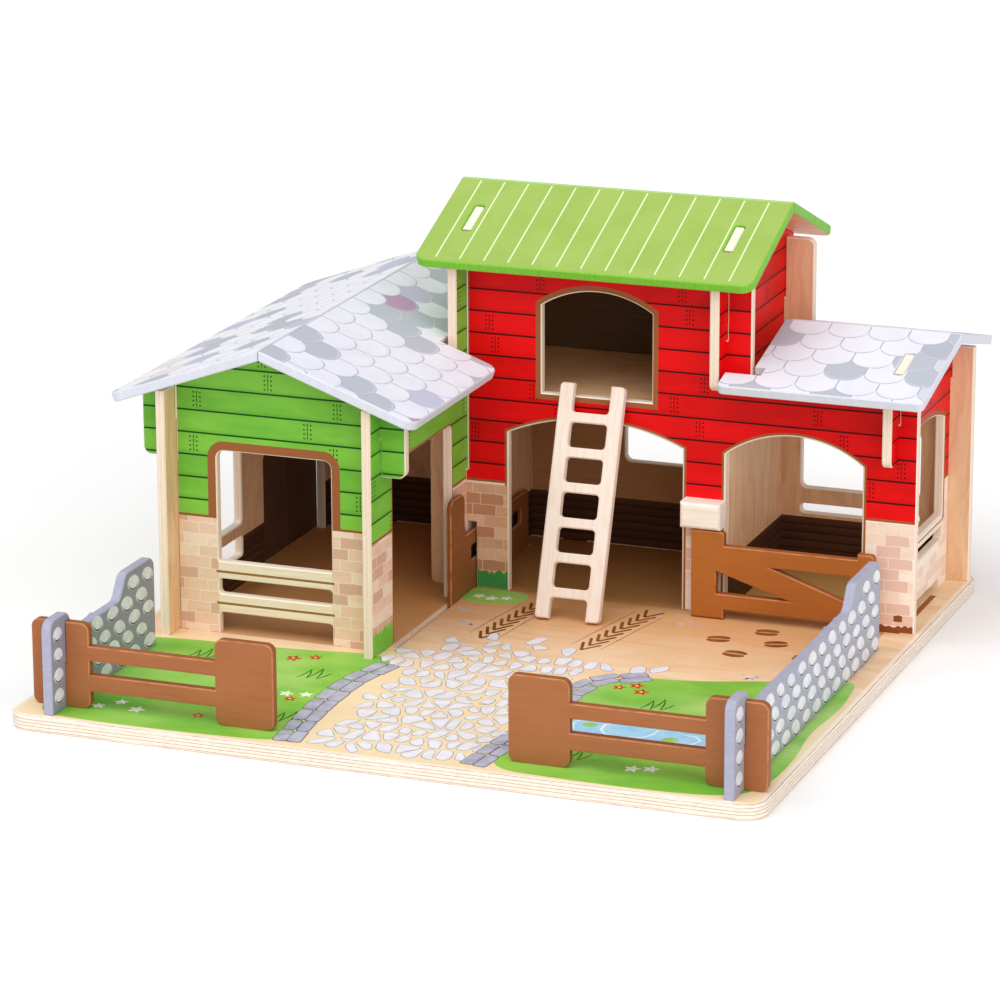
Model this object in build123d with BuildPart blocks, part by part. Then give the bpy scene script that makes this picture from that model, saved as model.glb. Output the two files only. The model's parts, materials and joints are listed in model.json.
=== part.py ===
from build123d import *
from math import cos, radians, sin, tan
import os

# A flat-pack toy barn: plywood panels that lap through each other and stand in a board.
# Millimetres, +Z up, +Y towards the back. The origin is the centre of the board's underside.

# ---------------------------------------------------------------- driving dimensions

# stock and fits
ply = 6.0
edge_break = 0.7
lap_gap = 0.2
seat_gap = 0.2
tenon_length = 18.0
tenon_depth = 5.0
tenon_floor_gap = 0.5
tenon_inset = 30.0
cut_past = 1.0

# board, and its margins beyond the side barn and behind the back wall
board_thickness = 10.0
board_right_margin = 16.5
board_back_margin = 14.0
board_corner_r = 14.0
board_edge_r = 1.2

# rooms, from the board's left edge and front edge
stable_left_inset = 23.5
stable_room_width = 128.0
barn_room_width = 164.5
side_room_width = 103.5
stable_front_setback = 180.5
barn_front_setback = 322.0
back_wall_setback = 440.0

# ears: how far a wall runs on past the wall that it laps
front_ear = 16.0
back_ear = 12.0
side_barn_ear = 12.0
back_wall_right_ear = 14.5
barn_front_shoulder = 16.0
barn_back_shoulder = 19.0
divider_ear = 18.5
ear_corner_r = 5.0

# heights of the laps and of the undersides of the ears
stable_ear_z = 119.5
stable_lap_z = 143.0
divider_lap_z = 87.0
gable_ear_z = 156.0
gable_lap_z = 185.0
side_ear_z = 118.0
side_lap_z = 142.0

# roofs: height of the ridge's top, pitch, and horizontal run from ridge to eave
stable_ridge_z = 196.0
stable_pitch = 19.7
stable_run = 100.0
stable_roof_front = 160.5
stable_roof_back = 466.0
stable_roof_step_setback = 301.0
stable_roof_narrow_run = 61.5
barn_ridge_z = 260.0
barn_pitch = 21.8
barn_run = 86.0
barn_roof_left_over = 19.7
barn_roof_right_over = 22.6
side_ridge_z = 185.7
side_pitch = 13.9
side_front_run = 89.4
side_back_run = 72.0
side_roof_right_over = 21.5
side_roof_strip_gap = 2.0
side_roof_wall_gap = 2.0
side_roof_notch_width = 8.6
side_roof_strip_run = 72.0
roof_corner_r = 8.0
side_roof_corner_r = 4.0
ridge_gap = 0.3
tab_length = 29.0
tab_start = 29.5
tab_top_gap = 0.4
tab_end_gap = 1.8
tab_slot_r = 2.6

# flat tops of walls
stable_back_stub_z = 164.0
barn_front_top_z = 228.3
side_front_top_z = 163.9
back_tall_top_z = 224.0
back_side_top_z = 163.0

# openings in the stable's front wall
stable_window_width = 75.0
stable_window_sill_z = 56.0
stable_window_head_z = 126.0
stable_window_r = 5.0
stable_sill_r = 1.5
stable_rail_gap_low = 35.2
stable_rail_gap_high = 45.0
stable_foot_opening_z = 23.5

# openings in the stable's left wall: the window starts behind the front wall, and the doorway
# ends before the back wall
left_window_inset = 19.5
left_window_width = 70.0
left_window_sill_z = 50.8
left_window_head_z = 115.0
left_slot_low_z = 30.0
left_slot_high_z = 42.8
side_doorway_inset = 31.0
side_doorway_width = 99.0
side_doorway_head_z = 86.0

# doorway in the divider, behind the stable's front wall
divider_doorway_inset = 12.5
divider_doorway_width = 97.0
divider_doorway_head_z = 122.0

# openings in the barn's front wall: insets are from the divider's right face
loft_window_inset = 50.3
loft_window_width = 72.2
loft_window_sill_z = 141.0
loft_window_spring_z = 197.0
loft_window_rise = 11.0
barn_doorway_inset = 28.1
barn_doorway_width = 114.6
barn_doorway_spring_z = 113.5
barn_doorway_rise = 12.5
side_arch_width = 87.4
side_arch_spring_z = 113.0
side_arch_rise = 15.0
gate_slot_width = 6.3
gate_slot_z = 53.0

# openings in the back wall: insets are from the divider's and the gable's right faces
back_window_inset = 64.5
back_window_width = 72.0
back_window_sill_z = 67.4
back_window_head_z = 112.0
side_window_inset = 12.6
side_window_width = 78.4
side_window_sill_z = 61.5
side_window_head_z = 104.0
side_gap_low_z = 44.7
side_gap_high_z = 50.9
window_corner_r = 4.0
rail_corner_r = 2.5

# openings in the side barn's outer wall: insets are from the barn's front wall
arch_window_inset = 9.0
arch_window_width = 90.0
arch_window_sill_z = 57.3
arch_window_spring_z = 120.0
arch_window_rise = 8.0
arch_gap_low_z = 41.2
arch_gap_high_z = 49.2
floor_slot_inset = 29.0
floor_slot_width = 64.0
floor_slot_z = 15.6

# loft
loft_top_z = 139.8
loft_edge_gap = 0.3
cleat_size = 8.0
cleat_end_gap = 10.0

# fences and stone walls
fence_setback = 22.0
fence_left_over = 15.5
fence_right_over = 19.7
fence_length = 152.9
fence_post = 36.6
fence_height = 52.0
fence_corner_r = 5.0
rail_low_bottom = 10.8
rail_low_top = 21.0
rail_high_bottom = 29.5
rail_high_top = 38.5
stone_wall_front = 3.5
stone_left_back = 145.0
stone_left_step = 96.0
stone_right_back = 288.0
stone_right_step = 226.0
stone_low_height = 42.5
stone_high_height = 57.0
stone_bump_length = 33.0
stone_slope_length = 10.0
stone_corner_r = 7.0
stone_lap_height = 26.0

# hinge pins and dowels
pin_r = 1.5
pin_bore_gap = 0.1
pin_reach = 6.0
pin_seat = 9.0
pin_end_gap = 0.5
hinge_gap = 0.7
dowel_r = 2.0
dowel_in_wall = 4.5
dowel_in_block = 9.0
dowel_gap = 0.05

# yard gate and its block
block_width = 26.0
block_height = 16.5
block_depth = 13.0
block_bottom_z = 67.0
block_edge_r = 2.5
block_dowel_spread = 8.0
gate_axis_out = 8.5
gate_axis_left = 6.5
gate_hinge_edge = 5.6
gate_over = 11.3
gate_post = 21.1
gate_rail_z = 57.5
gate_end_z = 61.0
gate_end_post = 10.5
gate_bottom_z = 16.5
gate_corner_r = 2.5
brace_low_left = 16.1
brace_low_right = 63.1
brace_low_bottom_z = 26.5
brace_low_top_z = 41.0
brace_high_left = 51.1
brace_high_right = 102.1
brace_high_bottom_z = 29.0
brace_high_top_z = 46.5

# sliding gate
slider_ply = 3.0
slider_lead = 15.5
slider_length = 138.0
slider_handle = 24.0
slider_handle_z = 77.0
slider_top_z = 48.5
slider_slot_low_z = 29.5
slider_slot_high_z = 39.0
slider_slot_start = 34.0
slider_slot_end = 124.0
slider_wall_gap = 2.6
slider_corner_r = 6.0
slider_travel = 88.0
groove_depth = 3.0
groove_gap = 0.3
groove_end_gap = 2.0

# side doors and the head block above them
door_wall_gap = 0.4
door_overlap = 3.5
door_top_z = 90.0
door_middle_gap = 0.6
door_hinge_r = 2.9
head_height = 12.5
head_depth = 13.0
head_over = 7.0
head_dowel_spread = 30.0
head_edge_r = 2.0

# ladder
ladder_lean = 19.2
ladder_offset = 1.4
ladder_width = 42.0
ladder_rail = 8.8
ladder_length = 146.2
rung_count = 6
rung_height = 6.3
rung_pitch = 21.75
first_rung = 13.3
ladder_corner_r = 2.5

# ---------------------------------------------------------------- places worked out

rooms_width = stable_room_width + barn_room_width + side_room_width + 4 * ply
board_width = stable_left_inset + rooms_width + board_right_margin
board_depth = back_wall_setback + ply + board_back_margin
left_edge = -board_width / 2
front_edge = -board_depth / 2
floor_z = board_thickness

left_wall_x = left_edge + stable_left_inset
divider_x = left_wall_x + ply + stable_room_width
gable_x = divider_x + ply + barn_room_width
side_wall_x = gable_x + ply + side_room_width
stable_mid_x = left_wall_x + ply + stable_room_width / 2

stable_front_y = front_edge + stable_front_setback
barn_front_y = front_edge + barn_front_setback
back_y = front_edge + back_wall_setback
barn_mid_y = (barn_front_y + back_y + ply) / 2
walls_back_y = back_y + ply + back_ear
stable_walls_front_y = stable_front_y - front_ear
ears_front_y = barn_front_y - front_ear
fence_y = front_edge + fence_setback

stable_rise = tan(radians(stable_pitch))
barn_rise = tan(radians(barn_pitch))
side_rise = tan(radians(side_pitch))
pin_bore_r = pin_r + pin_bore_gap

# openings, from where they start to where they end
left_window_start = stable_front_y + ply + left_window_inset
left_window = (left_window_start, left_window_start + left_window_width)
side_doorway_end = back_y - side_doorway_inset
side_doorway = (side_doorway_end - side_doorway_width, side_doorway_end)
divider_doorway_start = stable_front_y + ply + divider_doorway_inset
divider_doorway_end = divider_doorway_start + divider_doorway_width
loft_window_start = divider_x + ply + loft_window_inset
loft_window = (loft_window_start, loft_window_start + loft_window_width)
barn_doorway_start = divider_x + ply + barn_doorway_inset
barn_doorway_end = barn_doorway_start + barn_doorway_width
side_arch_start = gable_x + ply
side_arch_end = side_arch_start + side_arch_width
back_window_start = divider_x + ply + back_window_inset
back_window = (back_window_start, back_window_start + back_window_width)
side_window_start = gable_x + ply + side_window_inset
side_window = (side_window_start, side_window_start + side_window_width)
arch_window_start = barn_front_y + ply + arch_window_inset
arch_window = (arch_window_start, arch_window_start + arch_window_width)
floor_slot_start = barn_front_y + ply + floor_slot_inset
floor_slot_end = floor_slot_start + floor_slot_width

gate_axis_x = gable_x - gate_axis_left
gate_axis_y = barn_front_y - gate_axis_out
door_mid_x = left_wall_x - door_wall_gap - ply / 2
door_middle_y = (side_doorway[0] + side_doorway[1]) / 2
door_front_axis_y = side_doorway[0] - door_overlap + ply / 2
door_back_axis_y = side_doorway[1] + door_overlap - ply / 2
head_bottom_z = door_top_z + hinge_gap
head_middle_z = head_bottom_z + head_height / 2
head_dowel_places = (door_middle_y - head_dowel_spread, door_middle_y + head_dowel_spread)
block_middle_z = block_bottom_z + block_height / 2
block_dowel_places = (gate_axis_x - block_dowel_spread, gate_axis_x + block_dowel_spread)
slider_x = divider_x + ply + slider_wall_gap
slider_y = divider_doorway_end - slider_lead
stone_left_end = front_edge + stone_left_back
stone_right_end = front_edge + stone_right_back
fence_left_start = left_wall_x - fence_left_over
fence_right_start = side_wall_x + fence_right_over - fence_length

# tenons: centres along each wall
stable_pier_out = (stable_room_width + stable_window_width) / 4
stable_front_tenons = (stable_mid_x - stable_pier_out, stable_mid_x + stable_pier_out)
barn_right_x = side_wall_x + ply + side_barn_ear
pillar_middle_x = (barn_doorway_end + side_arch_start) / 2
right_pier_middle_x = (side_arch_end + barn_right_x) / 2
barn_front_tenons = (pillar_middle_x, right_pier_middle_x)
back_tenons = (
    left_wall_x + ply + tenon_inset,
    divider_x - tenon_inset,
    divider_x + ply + tenon_inset,
    gable_x - tenon_inset,
    gable_x + ply + tenon_inset,
    side_wall_x - tenon_inset,
)
left_wall_tenons = (
    stable_front_y + ply + tenon_inset,
    (left_window[1] + side_doorway[0]) / 2,
    (side_doorway[1] + back_y) / 2,
)
gable_tenons = (barn_front_y + ply + tenon_inset, back_y - tenon_inset)
divider_tenons = ((stable_walls_front_y + divider_doorway_start) / 2,) + gable_tenons
side_wall_tenons = ((barn_front_y + ply + floor_slot_start) / 2, (floor_slot_end + back_y) / 2)
stone_front_tenon = fence_y + ply + tenon_inset
stone_left_tenons = (stone_front_tenon, stone_left_end - tenon_inset)
stone_right_back_tenon = stone_right_end - tenon_inset
stone_right_middle_tenon = (stone_front_tenon + stone_right_back_tenon) / 2
stone_right_tenons = (stone_front_tenon, stone_right_middle_tenon, stone_right_back_tenon)
fence_left_tenons = (fence_left_start + fence_length - fence_post / 2,)
fence_right_tenons = (fence_right_start + fence_post / 2,)


# ---------------------------------------------------------------- shared shapes

def across(y):
    """Sketch plane of a wall that runs left to right, with its front face at y."""
    return Plane.XZ.offset(-(y + ply))


def along(x):
    """Sketch plane of a wall that runs front to back, with its left face at x."""
    return Plane.YZ.offset(x)


def outline(*points):
    """Fills the closed outline through the points."""
    Polygon(*points, align=None)


def corners(*points):
    """The corners of the sketch being drawn that lie nearest the points."""
    return [vertices().sort_by_distance((*point, 0))[0] for point in points]


def tenons(centres):
    """Adds the tenons under a wall's foot."""
    with Locations(*[(centre, floor_z) for centre in centres]):
        Rectangle(tenon_length, 2 * tenon_depth)


def opening(start, end, low, high, corner_r):
    """Cuts a window with rounded corners."""
    with Locations(((start + end) / 2, (low + high) / 2)):
        RectangleRounded(end - start, high - low, corner_r, mode=Mode.SUBTRACT)


def arch(start, end, low, spring, rise):
    """Cuts an opening with a bowed head."""
    with BuildLine() as frame:
        Polyline((start, spring), (start, low), (end, low), (end, spring))
        ThreePointArc((start, spring), ((start + end) / 2, spring + rise), (end, spring))
    make_face(frame.edges(), mode=Mode.SUBTRACT)


def slot(centre_start, low, high):
    """Cuts the slot that another panel laps into."""
    with Locations((centre_start + ply / 2, (low + high) / 2)):
        Rectangle(ply + 2 * lap_gap, high - low, mode=Mode.SUBTRACT)


def break_edges(size=edge_break):
    """Eases the edges round both broad faces of the panel being built."""
    broad = faces().sort_by(SortBy.AREA)[-2:]
    chamfer(broad[0].edges() + broad[1].edges(), size)


def lapped_outline(ear_z, lap_z, under):
    """Outline of a gable that drops onto the front and back walls and ends in two ears."""
    inner_front = barn_front_y + ply + lap_gap
    outer_front = barn_front_y - lap_gap
    inner_back = back_y - lap_gap
    outer_back = back_y + ply + lap_gap
    outline(
        (inner_front, floor_z),
        (inner_back, floor_z),
        (inner_back, lap_z),
        (outer_back, lap_z),
        (outer_back, ear_z),
        (walls_back_y, ear_z),
        (walls_back_y, under(walls_back_y)),
        (barn_mid_y, under(barn_mid_y)),
        (ears_front_y, under(ears_front_y)),
        (ears_front_y, ear_z),
        (outer_front, ear_z),
        (outer_front, lap_z),
        (inner_front, lap_z),
    )
    fillet(corners((ears_front_y, ear_z), (walls_back_y, ear_z)), ear_corner_r)


def on_slope(ridge, side, pitch, distance, depth):
    """A point at a distance down a roof's slope and a depth under its top face."""
    turn = radians(pitch)
    run = distance * cos(turn) - depth * sin(turn)
    return (ridge[0] + side * run, ridge[1] - distance * sin(turn) - depth * cos(turn))


def underside(ridge, rise, pitch, place):
    """Height of a wall's top under a roof, at a place across the ridge."""
    thickness = (ply + seat_gap) / cos(radians(pitch))
    return ridge[1] - abs(place - ridge[0]) * rise - thickness


def roof_tab(ridge, side, pitch):
    """Adds the tab of a gable that comes up through a roof slab's slot."""
    start = tab_start + tab_end_gap
    end = tab_start + tab_length - tab_end_gap
    low = 2 * ply
    outline(
        on_slope(ridge, side, pitch, start, low),
        on_slope(ridge, side, pitch, start, tab_top_gap),
        on_slope(ridge, side, pitch, end, tab_top_gap),
        on_slope(ridge, side, pitch, end, low),
    )


barn_ridge = (barn_mid_y, barn_ridge_z)
side_ridge = (barn_mid_y, side_ridge_z)
stable_ridge = (stable_mid_x, stable_ridge_z)


def stable_under(x):
    """Underside of the stable's roof."""
    return underside(stable_ridge, stable_rise, stable_pitch, x)


def barn_under(y):
    """Underside of the barn's roof."""
    return underside(barn_ridge, barn_rise, barn_pitch, y)


def side_under(y):
    """Underside of the side barn's roof."""
    return underside(side_ridge, side_rise, side_pitch, y)


# ---------------------------------------------------------------- board

across_walls = (
    (stable_front_y, stable_front_tenons),
    (barn_front_y, barn_front_tenons),
    (back_y, back_tenons),
    (fence_y, fence_left_tenons + fence_right_tenons),
)
along_walls = (
    (left_wall_x, left_wall_tenons + stone_left_tenons),
    (divider_x, divider_tenons),
    (gable_x, gable_tenons),
    (side_wall_x, side_wall_tenons + stone_right_tenons),
)
mortise_length = tenon_length + 2 * lap_gap
mortise_width = ply + 2 * lap_gap
mortise_depth = tenon_depth + tenon_floor_gap
groove_start = slider_y - slider_travel - groove_end_gap
groove_end = slider_y + slider_length + groove_end_gap

with BuildPart() as base_board:
    with BuildSketch():
        RectangleRounded(board_width, board_depth, board_corner_r)
    extrude(amount=board_thickness)
    chamfer(faces().sort_by(Axis.Z)[-1].edges() + faces().sort_by(Axis.Z)[0].edges(), board_edge_r)
    with BuildSketch(Plane.XY.offset(floor_z)):
        for wall_y, centres in across_walls:
            with Locations(*[(centre, wall_y + ply / 2) for centre in centres]):
                Rectangle(mortise_length, mortise_width)
        for wall_x, centres in along_walls:
            with Locations(*[(wall_x + ply / 2, centre) for centre in centres]):
                Rectangle(mortise_width, mortise_length)
    extrude(amount=-mortise_depth, mode=Mode.SUBTRACT)
    with BuildSketch(Plane.XY.offset(floor_z)):
        with Locations((slider_x + slider_ply / 2, (groove_start + groove_end) / 2)):
            Rectangle(slider_ply + 2 * groove_gap, groove_end - groove_start)
    extrude(amount=-groove_depth, mode=Mode.SUBTRACT)
    hinge_axes = (
        (gate_axis_x, gate_axis_y),
        (door_mid_x, door_front_axis_y),
        (door_mid_x, door_back_axis_y),
    )
    with Locations(*[(x, y, floor_z) for x, y in hinge_axes]):
        Hole(pin_bore_r, depth=pin_reach + pin_end_gap - hinge_gap)
base_board.part.label = "base_board"

# ---------------------------------------------------------------- stable

half_room = stable_room_width / 2
ear_root = half_room + ply + lap_gap
ear_tip = half_room + ply + front_ear
half_window = stable_window_width / 2
stable_wall_top_z = stable_under(left_wall_x)
stable_front_plane = Plane(
    origin=(stable_mid_x, stable_front_y + ply, 0), x_dir=(1, 0, 0), z_dir=(0, -1, 0)
)

with BuildPart() as stable_front_wall:
    with BuildSketch(stable_front_plane):
        with BuildLine():
            Polyline(
                (0, floor_z),
                (half_room - lap_gap, floor_z),
                (half_room - lap_gap, stable_lap_z),
                (ear_root, stable_lap_z),
                (ear_root, stable_ear_z),
                (ear_tip, stable_ear_z),
                (ear_tip, stable_under(stable_mid_x + ear_tip)),
                (0, stable_under(stable_mid_x)),
            )
            mirror(about=Plane.YZ)
        make_face()
        fillet(corners((-ear_tip, stable_ear_z), (ear_tip, stable_ear_z)), ear_corner_r)
        tenons([centre - stable_mid_x for centre in stable_front_tenons])
        opening(-half_window, half_window, stable_window_sill_z, stable_window_head_z, stable_window_r)
        sill_top_z = stable_window_sill_z + 2 * stable_window_r
        opening(-half_window, half_window, stable_window_sill_z, sill_top_z, stable_sill_r)
        opening(-half_window, half_window, stable_rail_gap_low, stable_rail_gap_high, rail_corner_r)
        opening(-half_window, half_window, -stable_foot_opening_z, stable_foot_opening_z, rail_corner_r)
    extrude(amount=ply)
    break_edges()
stable_front_wall.part.label = "stable_front_wall"

with BuildPart() as stable_left_wall:
    with BuildSketch(along(left_wall_x)):
        outline(
            (stable_walls_front_y, floor_z),
            (walls_back_y, floor_z),
            (walls_back_y, stable_wall_top_z),
            (stable_walls_front_y, stable_wall_top_z),
        )
        tenons(left_wall_tenons)
        slot(stable_front_y, stable_lap_z, stable_wall_top_z + cut_past)
        slot(back_y, stable_lap_z, stable_wall_top_z + cut_past)
        opening(*left_window, left_window_sill_z, left_window_head_z, window_corner_r)
        opening(*left_window, left_slot_low_z, left_slot_high_z, rail_corner_r)
        opening(*side_doorway, -side_doorway_head_z, side_doorway_head_z, window_corner_r)
    extrude(amount=ply)
    break_edges()
    with BuildSketch(Plane.YZ.offset(left_wall_x)):
        with Locations(*[(y, head_middle_z) for y in head_dowel_places]):
            Circle(dowel_r + dowel_gap)
    extrude(amount=dowel_in_wall + dowel_gap, mode=Mode.SUBTRACT)
stable_left_wall.part.label = "stable_left_wall"

# The divider is the stable's right wall, and rises behind it as the tall barn's left gable.
with BuildPart() as divider_wall:
    with BuildSketch(along(divider_x)):
        outline(
            (stable_walls_front_y, floor_z),
            (walls_back_y, floor_z),
            (walls_back_y, barn_under(walls_back_y)),
            (barn_mid_y, barn_under(barn_mid_y)),
            (ears_front_y, barn_under(ears_front_y)),
            (ears_front_y, stable_wall_top_z),
            (stable_walls_front_y, stable_wall_top_z),
        )
        roof_tab(barn_ridge, -1, barn_pitch)
        roof_tab(barn_ridge, 1, barn_pitch)
        tenons(divider_tenons)
        slot(stable_front_y, stable_lap_z, stable_wall_top_z + cut_past)
        slot(barn_front_y, floor_z - cut_past, divider_lap_z)
        slot(back_y, floor_z - cut_past, divider_lap_z)
        opening(
            divider_doorway_start,
            divider_doorway_end,
            -divider_doorway_head_z,
            divider_doorway_head_z,
            window_corner_r,
        )
    extrude(amount=ply)
    break_edges()
divider_wall.part.label = "divider_wall"

# ---------------------------------------------------------------- tall barn and side barn

stub_left_x = divider_x - divider_ear
shoulder_x = gable_x + ply + barn_front_shoulder

with BuildPart() as barn_front_wall:
    with BuildSketch(across(barn_front_y)):
        outline(
            (stub_left_x, floor_z),
            (barn_right_x, floor_z),
            (barn_right_x, side_front_top_z),
            (shoulder_x, side_front_top_z),
            (shoulder_x, barn_front_top_z),
            (divider_x + ply + lap_gap, barn_front_top_z),
            (divider_x + ply + lap_gap, divider_lap_z),
            (divider_x - lap_gap, divider_lap_z),
            (divider_x - lap_gap, stable_back_stub_z),
            (stub_left_x, stable_back_stub_z),
        )
        fillet(corners((stub_left_x, stable_back_stub_z), (stub_left_x, floor_z)), window_corner_r)
        tenons(barn_front_tenons)
        slot(gable_x, gable_lap_z, barn_front_top_z + cut_past)
        slot(side_wall_x, side_lap_z, side_front_top_z + cut_past)
        arch(*loft_window, loft_window_sill_z, loft_window_spring_z, loft_window_rise)
        arch(barn_doorway_start, barn_doorway_end, floor_z, barn_doorway_spring_z, barn_doorway_rise)
        arch(side_arch_start, side_arch_end, floor_z, side_arch_spring_z, side_arch_rise)
        with Locations((divider_x + ply + gate_slot_width / 2, (floor_z + gate_slot_z) / 2)):
            Rectangle(gate_slot_width, gate_slot_z - floor_z, mode=Mode.SUBTRACT)
    extrude(amount=ply)
    break_edges()
    with BuildSketch(Plane.XZ.offset(-barn_front_y)):
        with Locations(*[(x, block_middle_z) for x in block_dowel_places]):
            Circle(dowel_r + dowel_gap)
    extrude(amount=-(dowel_in_wall + dowel_gap), mode=Mode.SUBTRACT)
barn_front_wall.part.label = "barn_front_wall"

back_left_x = left_wall_x - front_ear
back_right_x = side_wall_x + ply + back_wall_right_ear
back_shoulder_x = gable_x + ply + barn_back_shoulder

with BuildPart() as back_wall:
    with BuildSketch(across(back_y)):
        outline(
            (left_wall_x + ply + lap_gap, floor_z),
            (back_right_x, floor_z),
            (back_right_x, back_side_top_z),
            (back_shoulder_x, back_side_top_z),
            (back_shoulder_x, back_tall_top_z),
            (divider_x + ply + lap_gap, back_tall_top_z),
            (divider_x + ply + lap_gap, divider_lap_z),
            (divider_x - lap_gap, divider_lap_z),
            (divider_x - lap_gap, stable_under(divider_x)),
            (stable_mid_x, stable_under(stable_mid_x)),
            (back_left_x, stable_under(back_left_x)),
            (back_left_x, stable_ear_z),
            (left_wall_x - lap_gap, stable_ear_z),
            (left_wall_x - lap_gap, stable_lap_z),
            (left_wall_x + ply + lap_gap, stable_lap_z),
        )
        fillet(corners((back_left_x, stable_ear_z), (back_shoulder_x, back_tall_top_z)), ear_corner_r)
        tenons(back_tenons)
        slot(gable_x, gable_lap_z, back_tall_top_z + cut_past)
        slot(side_wall_x, side_lap_z, back_side_top_z + cut_past)
        opening(*back_window, back_window_sill_z, back_window_head_z, window_corner_r)
        opening(*side_window, side_window_sill_z, side_window_head_z, window_corner_r)
        opening(*side_window, side_gap_low_z, side_gap_high_z, rail_corner_r)
    extrude(amount=ply)
    break_edges()
back_wall.part.label = "back_wall"

with BuildPart() as barn_gable_wall:
    with BuildSketch(along(gable_x)):
        lapped_outline(gable_ear_z, gable_lap_z, barn_under)
        roof_tab(barn_ridge, -1, barn_pitch)
        roof_tab(barn_ridge, 1, barn_pitch)
        tenons(gable_tenons)
    extrude(amount=ply)
    break_edges()
barn_gable_wall.part.label = "barn_gable_wall"

with BuildPart() as side_barn_wall:
    with BuildSketch(along(side_wall_x)):
        lapped_outline(side_ear_z, side_lap_z, side_under)
        roof_tab(side_ridge, -1, side_pitch)
        roof_tab(side_ridge, 1, side_pitch)
        tenons(side_wall_tenons)
        arch(*arch_window, arch_window_sill_z, arch_window_spring_z, arch_window_rise)
        opening(*arch_window, arch_gap_low_z, arch_gap_high_z, rail_corner_r)
        floor_slot_foot_z = 2 * floor_z - floor_slot_z
        opening(floor_slot_start, floor_slot_end, floor_slot_foot_z, floor_slot_z, rail_corner_r)
    extrude(amount=ply)
    break_edges()
side_barn_wall.part.label = "side_barn_wall"

with BuildPart() as loft_floor:
    with BuildSketch(Plane.XY.offset(loft_top_z)):
        with Locations(((divider_x + ply + gable_x) / 2, (barn_front_y + ply + back_y) / 2)):
            Rectangle(barn_room_width - 2 * loft_edge_gap, back_y - barn_front_y - ply - 2 * loft_edge_gap)
    extrude(amount=-ply)
    break_edges()
loft_floor.part.label = "loft_floor"

with BuildPart() as loft_cleats:
    with BuildSketch(Plane.XY.offset(loft_top_z - ply)):
        for cleat_x in (divider_x + ply + cleat_size / 2, gable_x - cleat_size / 2):
            with Locations((cleat_x, (barn_front_y + ply + back_y) / 2)):
                Rectangle(cleat_size, back_y - barn_front_y - ply - 2 * cleat_end_gap)
    extrude(amount=-cleat_size)
loft_cleats.part.label = "loft_cleats"

# ---------------------------------------------------------------- roofs


def slope_plane(x, y, z, across_x, across_y, pitch):
    """Plane on a slab's top face: its origin is on the ridge and its X axis runs down the slope."""
    turn = radians(pitch)
    down = (across_x * cos(turn), across_y * cos(turn), -sin(turn))
    normal = (across_x * sin(turn), across_y * sin(turn), cos(turn))
    return Plane(origin=(x, y, z), x_dir=down, z_dir=normal)


def tab_slots(side, *places):
    """Cuts the slots that gable tabs come up through, at places along the ridge."""
    with Locations(*[(tab_start + tab_length / 2, side * (place + ply / 2)) for place in places]):
        RectangleRounded(tab_length, ply + 2 * lap_gap, tab_slot_r, mode=Mode.SUBTRACT)


stable_slope = stable_run / cos(radians(stable_pitch))
stable_narrow_slope = stable_roof_narrow_run / cos(radians(stable_pitch))
stable_roof_start = front_edge + stable_roof_front
stable_roof_end = front_edge + stable_roof_back
stable_roof_step = front_edge + stable_roof_step_setback

with BuildPart() as stable_roof_left:
    with BuildSketch(slope_plane(stable_mid_x, 0, stable_ridge_z, -1, 0, stable_pitch)):
        outline(
            (0, -stable_roof_start),
            (stable_slope, -stable_roof_start),
            (stable_slope, -stable_roof_end),
            (0, -stable_roof_end),
        )
        fillet(
            corners((stable_slope, -stable_roof_start), (stable_slope, -stable_roof_end)),
            roof_corner_r,
        )
    extrude(amount=-ply)
    split(bisect_by=Plane.YZ.offset(stable_mid_x - ridge_gap), keep=Keep.BOTTOM)
    break_edges()
stable_roof_left.part.label = "stable_roof_left"

with BuildPart() as stable_roof_right:
    with BuildSketch(slope_plane(stable_mid_x, 0, stable_ridge_z, 1, 0, stable_pitch)):
        outline(
            (0, stable_roof_start),
            (stable_slope, stable_roof_start),
            (stable_slope, stable_roof_step),
            (stable_narrow_slope, stable_roof_step),
            (stable_narrow_slope, stable_roof_end),
            (0, stable_roof_end),
        )
        fillet(
            corners((stable_slope, stable_roof_start), (stable_slope, stable_roof_step)),
            roof_corner_r,
        )
    extrude(amount=-ply)
    split(bisect_by=Plane.YZ.offset(stable_mid_x + ridge_gap), keep=Keep.TOP)
    break_edges()
stable_roof_right.part.label = "stable_roof_right"

barn_slope = barn_run / cos(radians(barn_pitch))
barn_roof_left = divider_x - barn_roof_left_over
barn_roof_right = gable_x + ply + barn_roof_right_over


def barn_slab(side):
    """Draws a slab of the tall barn's roof: side is 1 in front and -1 behind."""
    outline(
        (0, side * barn_roof_left),
        (barn_slope, side * barn_roof_left),
        (barn_slope, side * barn_roof_right),
        (0, side * barn_roof_right),
    )
    fillet(
        corners((barn_slope, side * barn_roof_left), (barn_slope, side * barn_roof_right)),
        roof_corner_r,
    )
    tab_slots(side, divider_x, gable_x)


with BuildPart() as barn_roof_front:
    with BuildSketch(slope_plane(0, barn_mid_y, barn_ridge_z, 0, -1, barn_pitch)):
        barn_slab(1)
    extrude(amount=-ply)
    split(bisect_by=Plane.XZ.offset(-(barn_mid_y - ridge_gap)), keep=Keep.TOP)
    break_edges()
barn_roof_front.part.label = "barn_roof_front"

with BuildPart() as barn_roof_back:
    with BuildSketch(slope_plane(0, barn_mid_y, barn_ridge_z, 0, 1, barn_pitch)):
        barn_slab(-1)
    extrude(amount=-ply)
    split(bisect_by=Plane.XZ.offset(-(barn_mid_y + ridge_gap)), keep=Keep.BOTTOM)
    break_edges()
barn_roof_back.part.label = "barn_roof_back"

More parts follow.
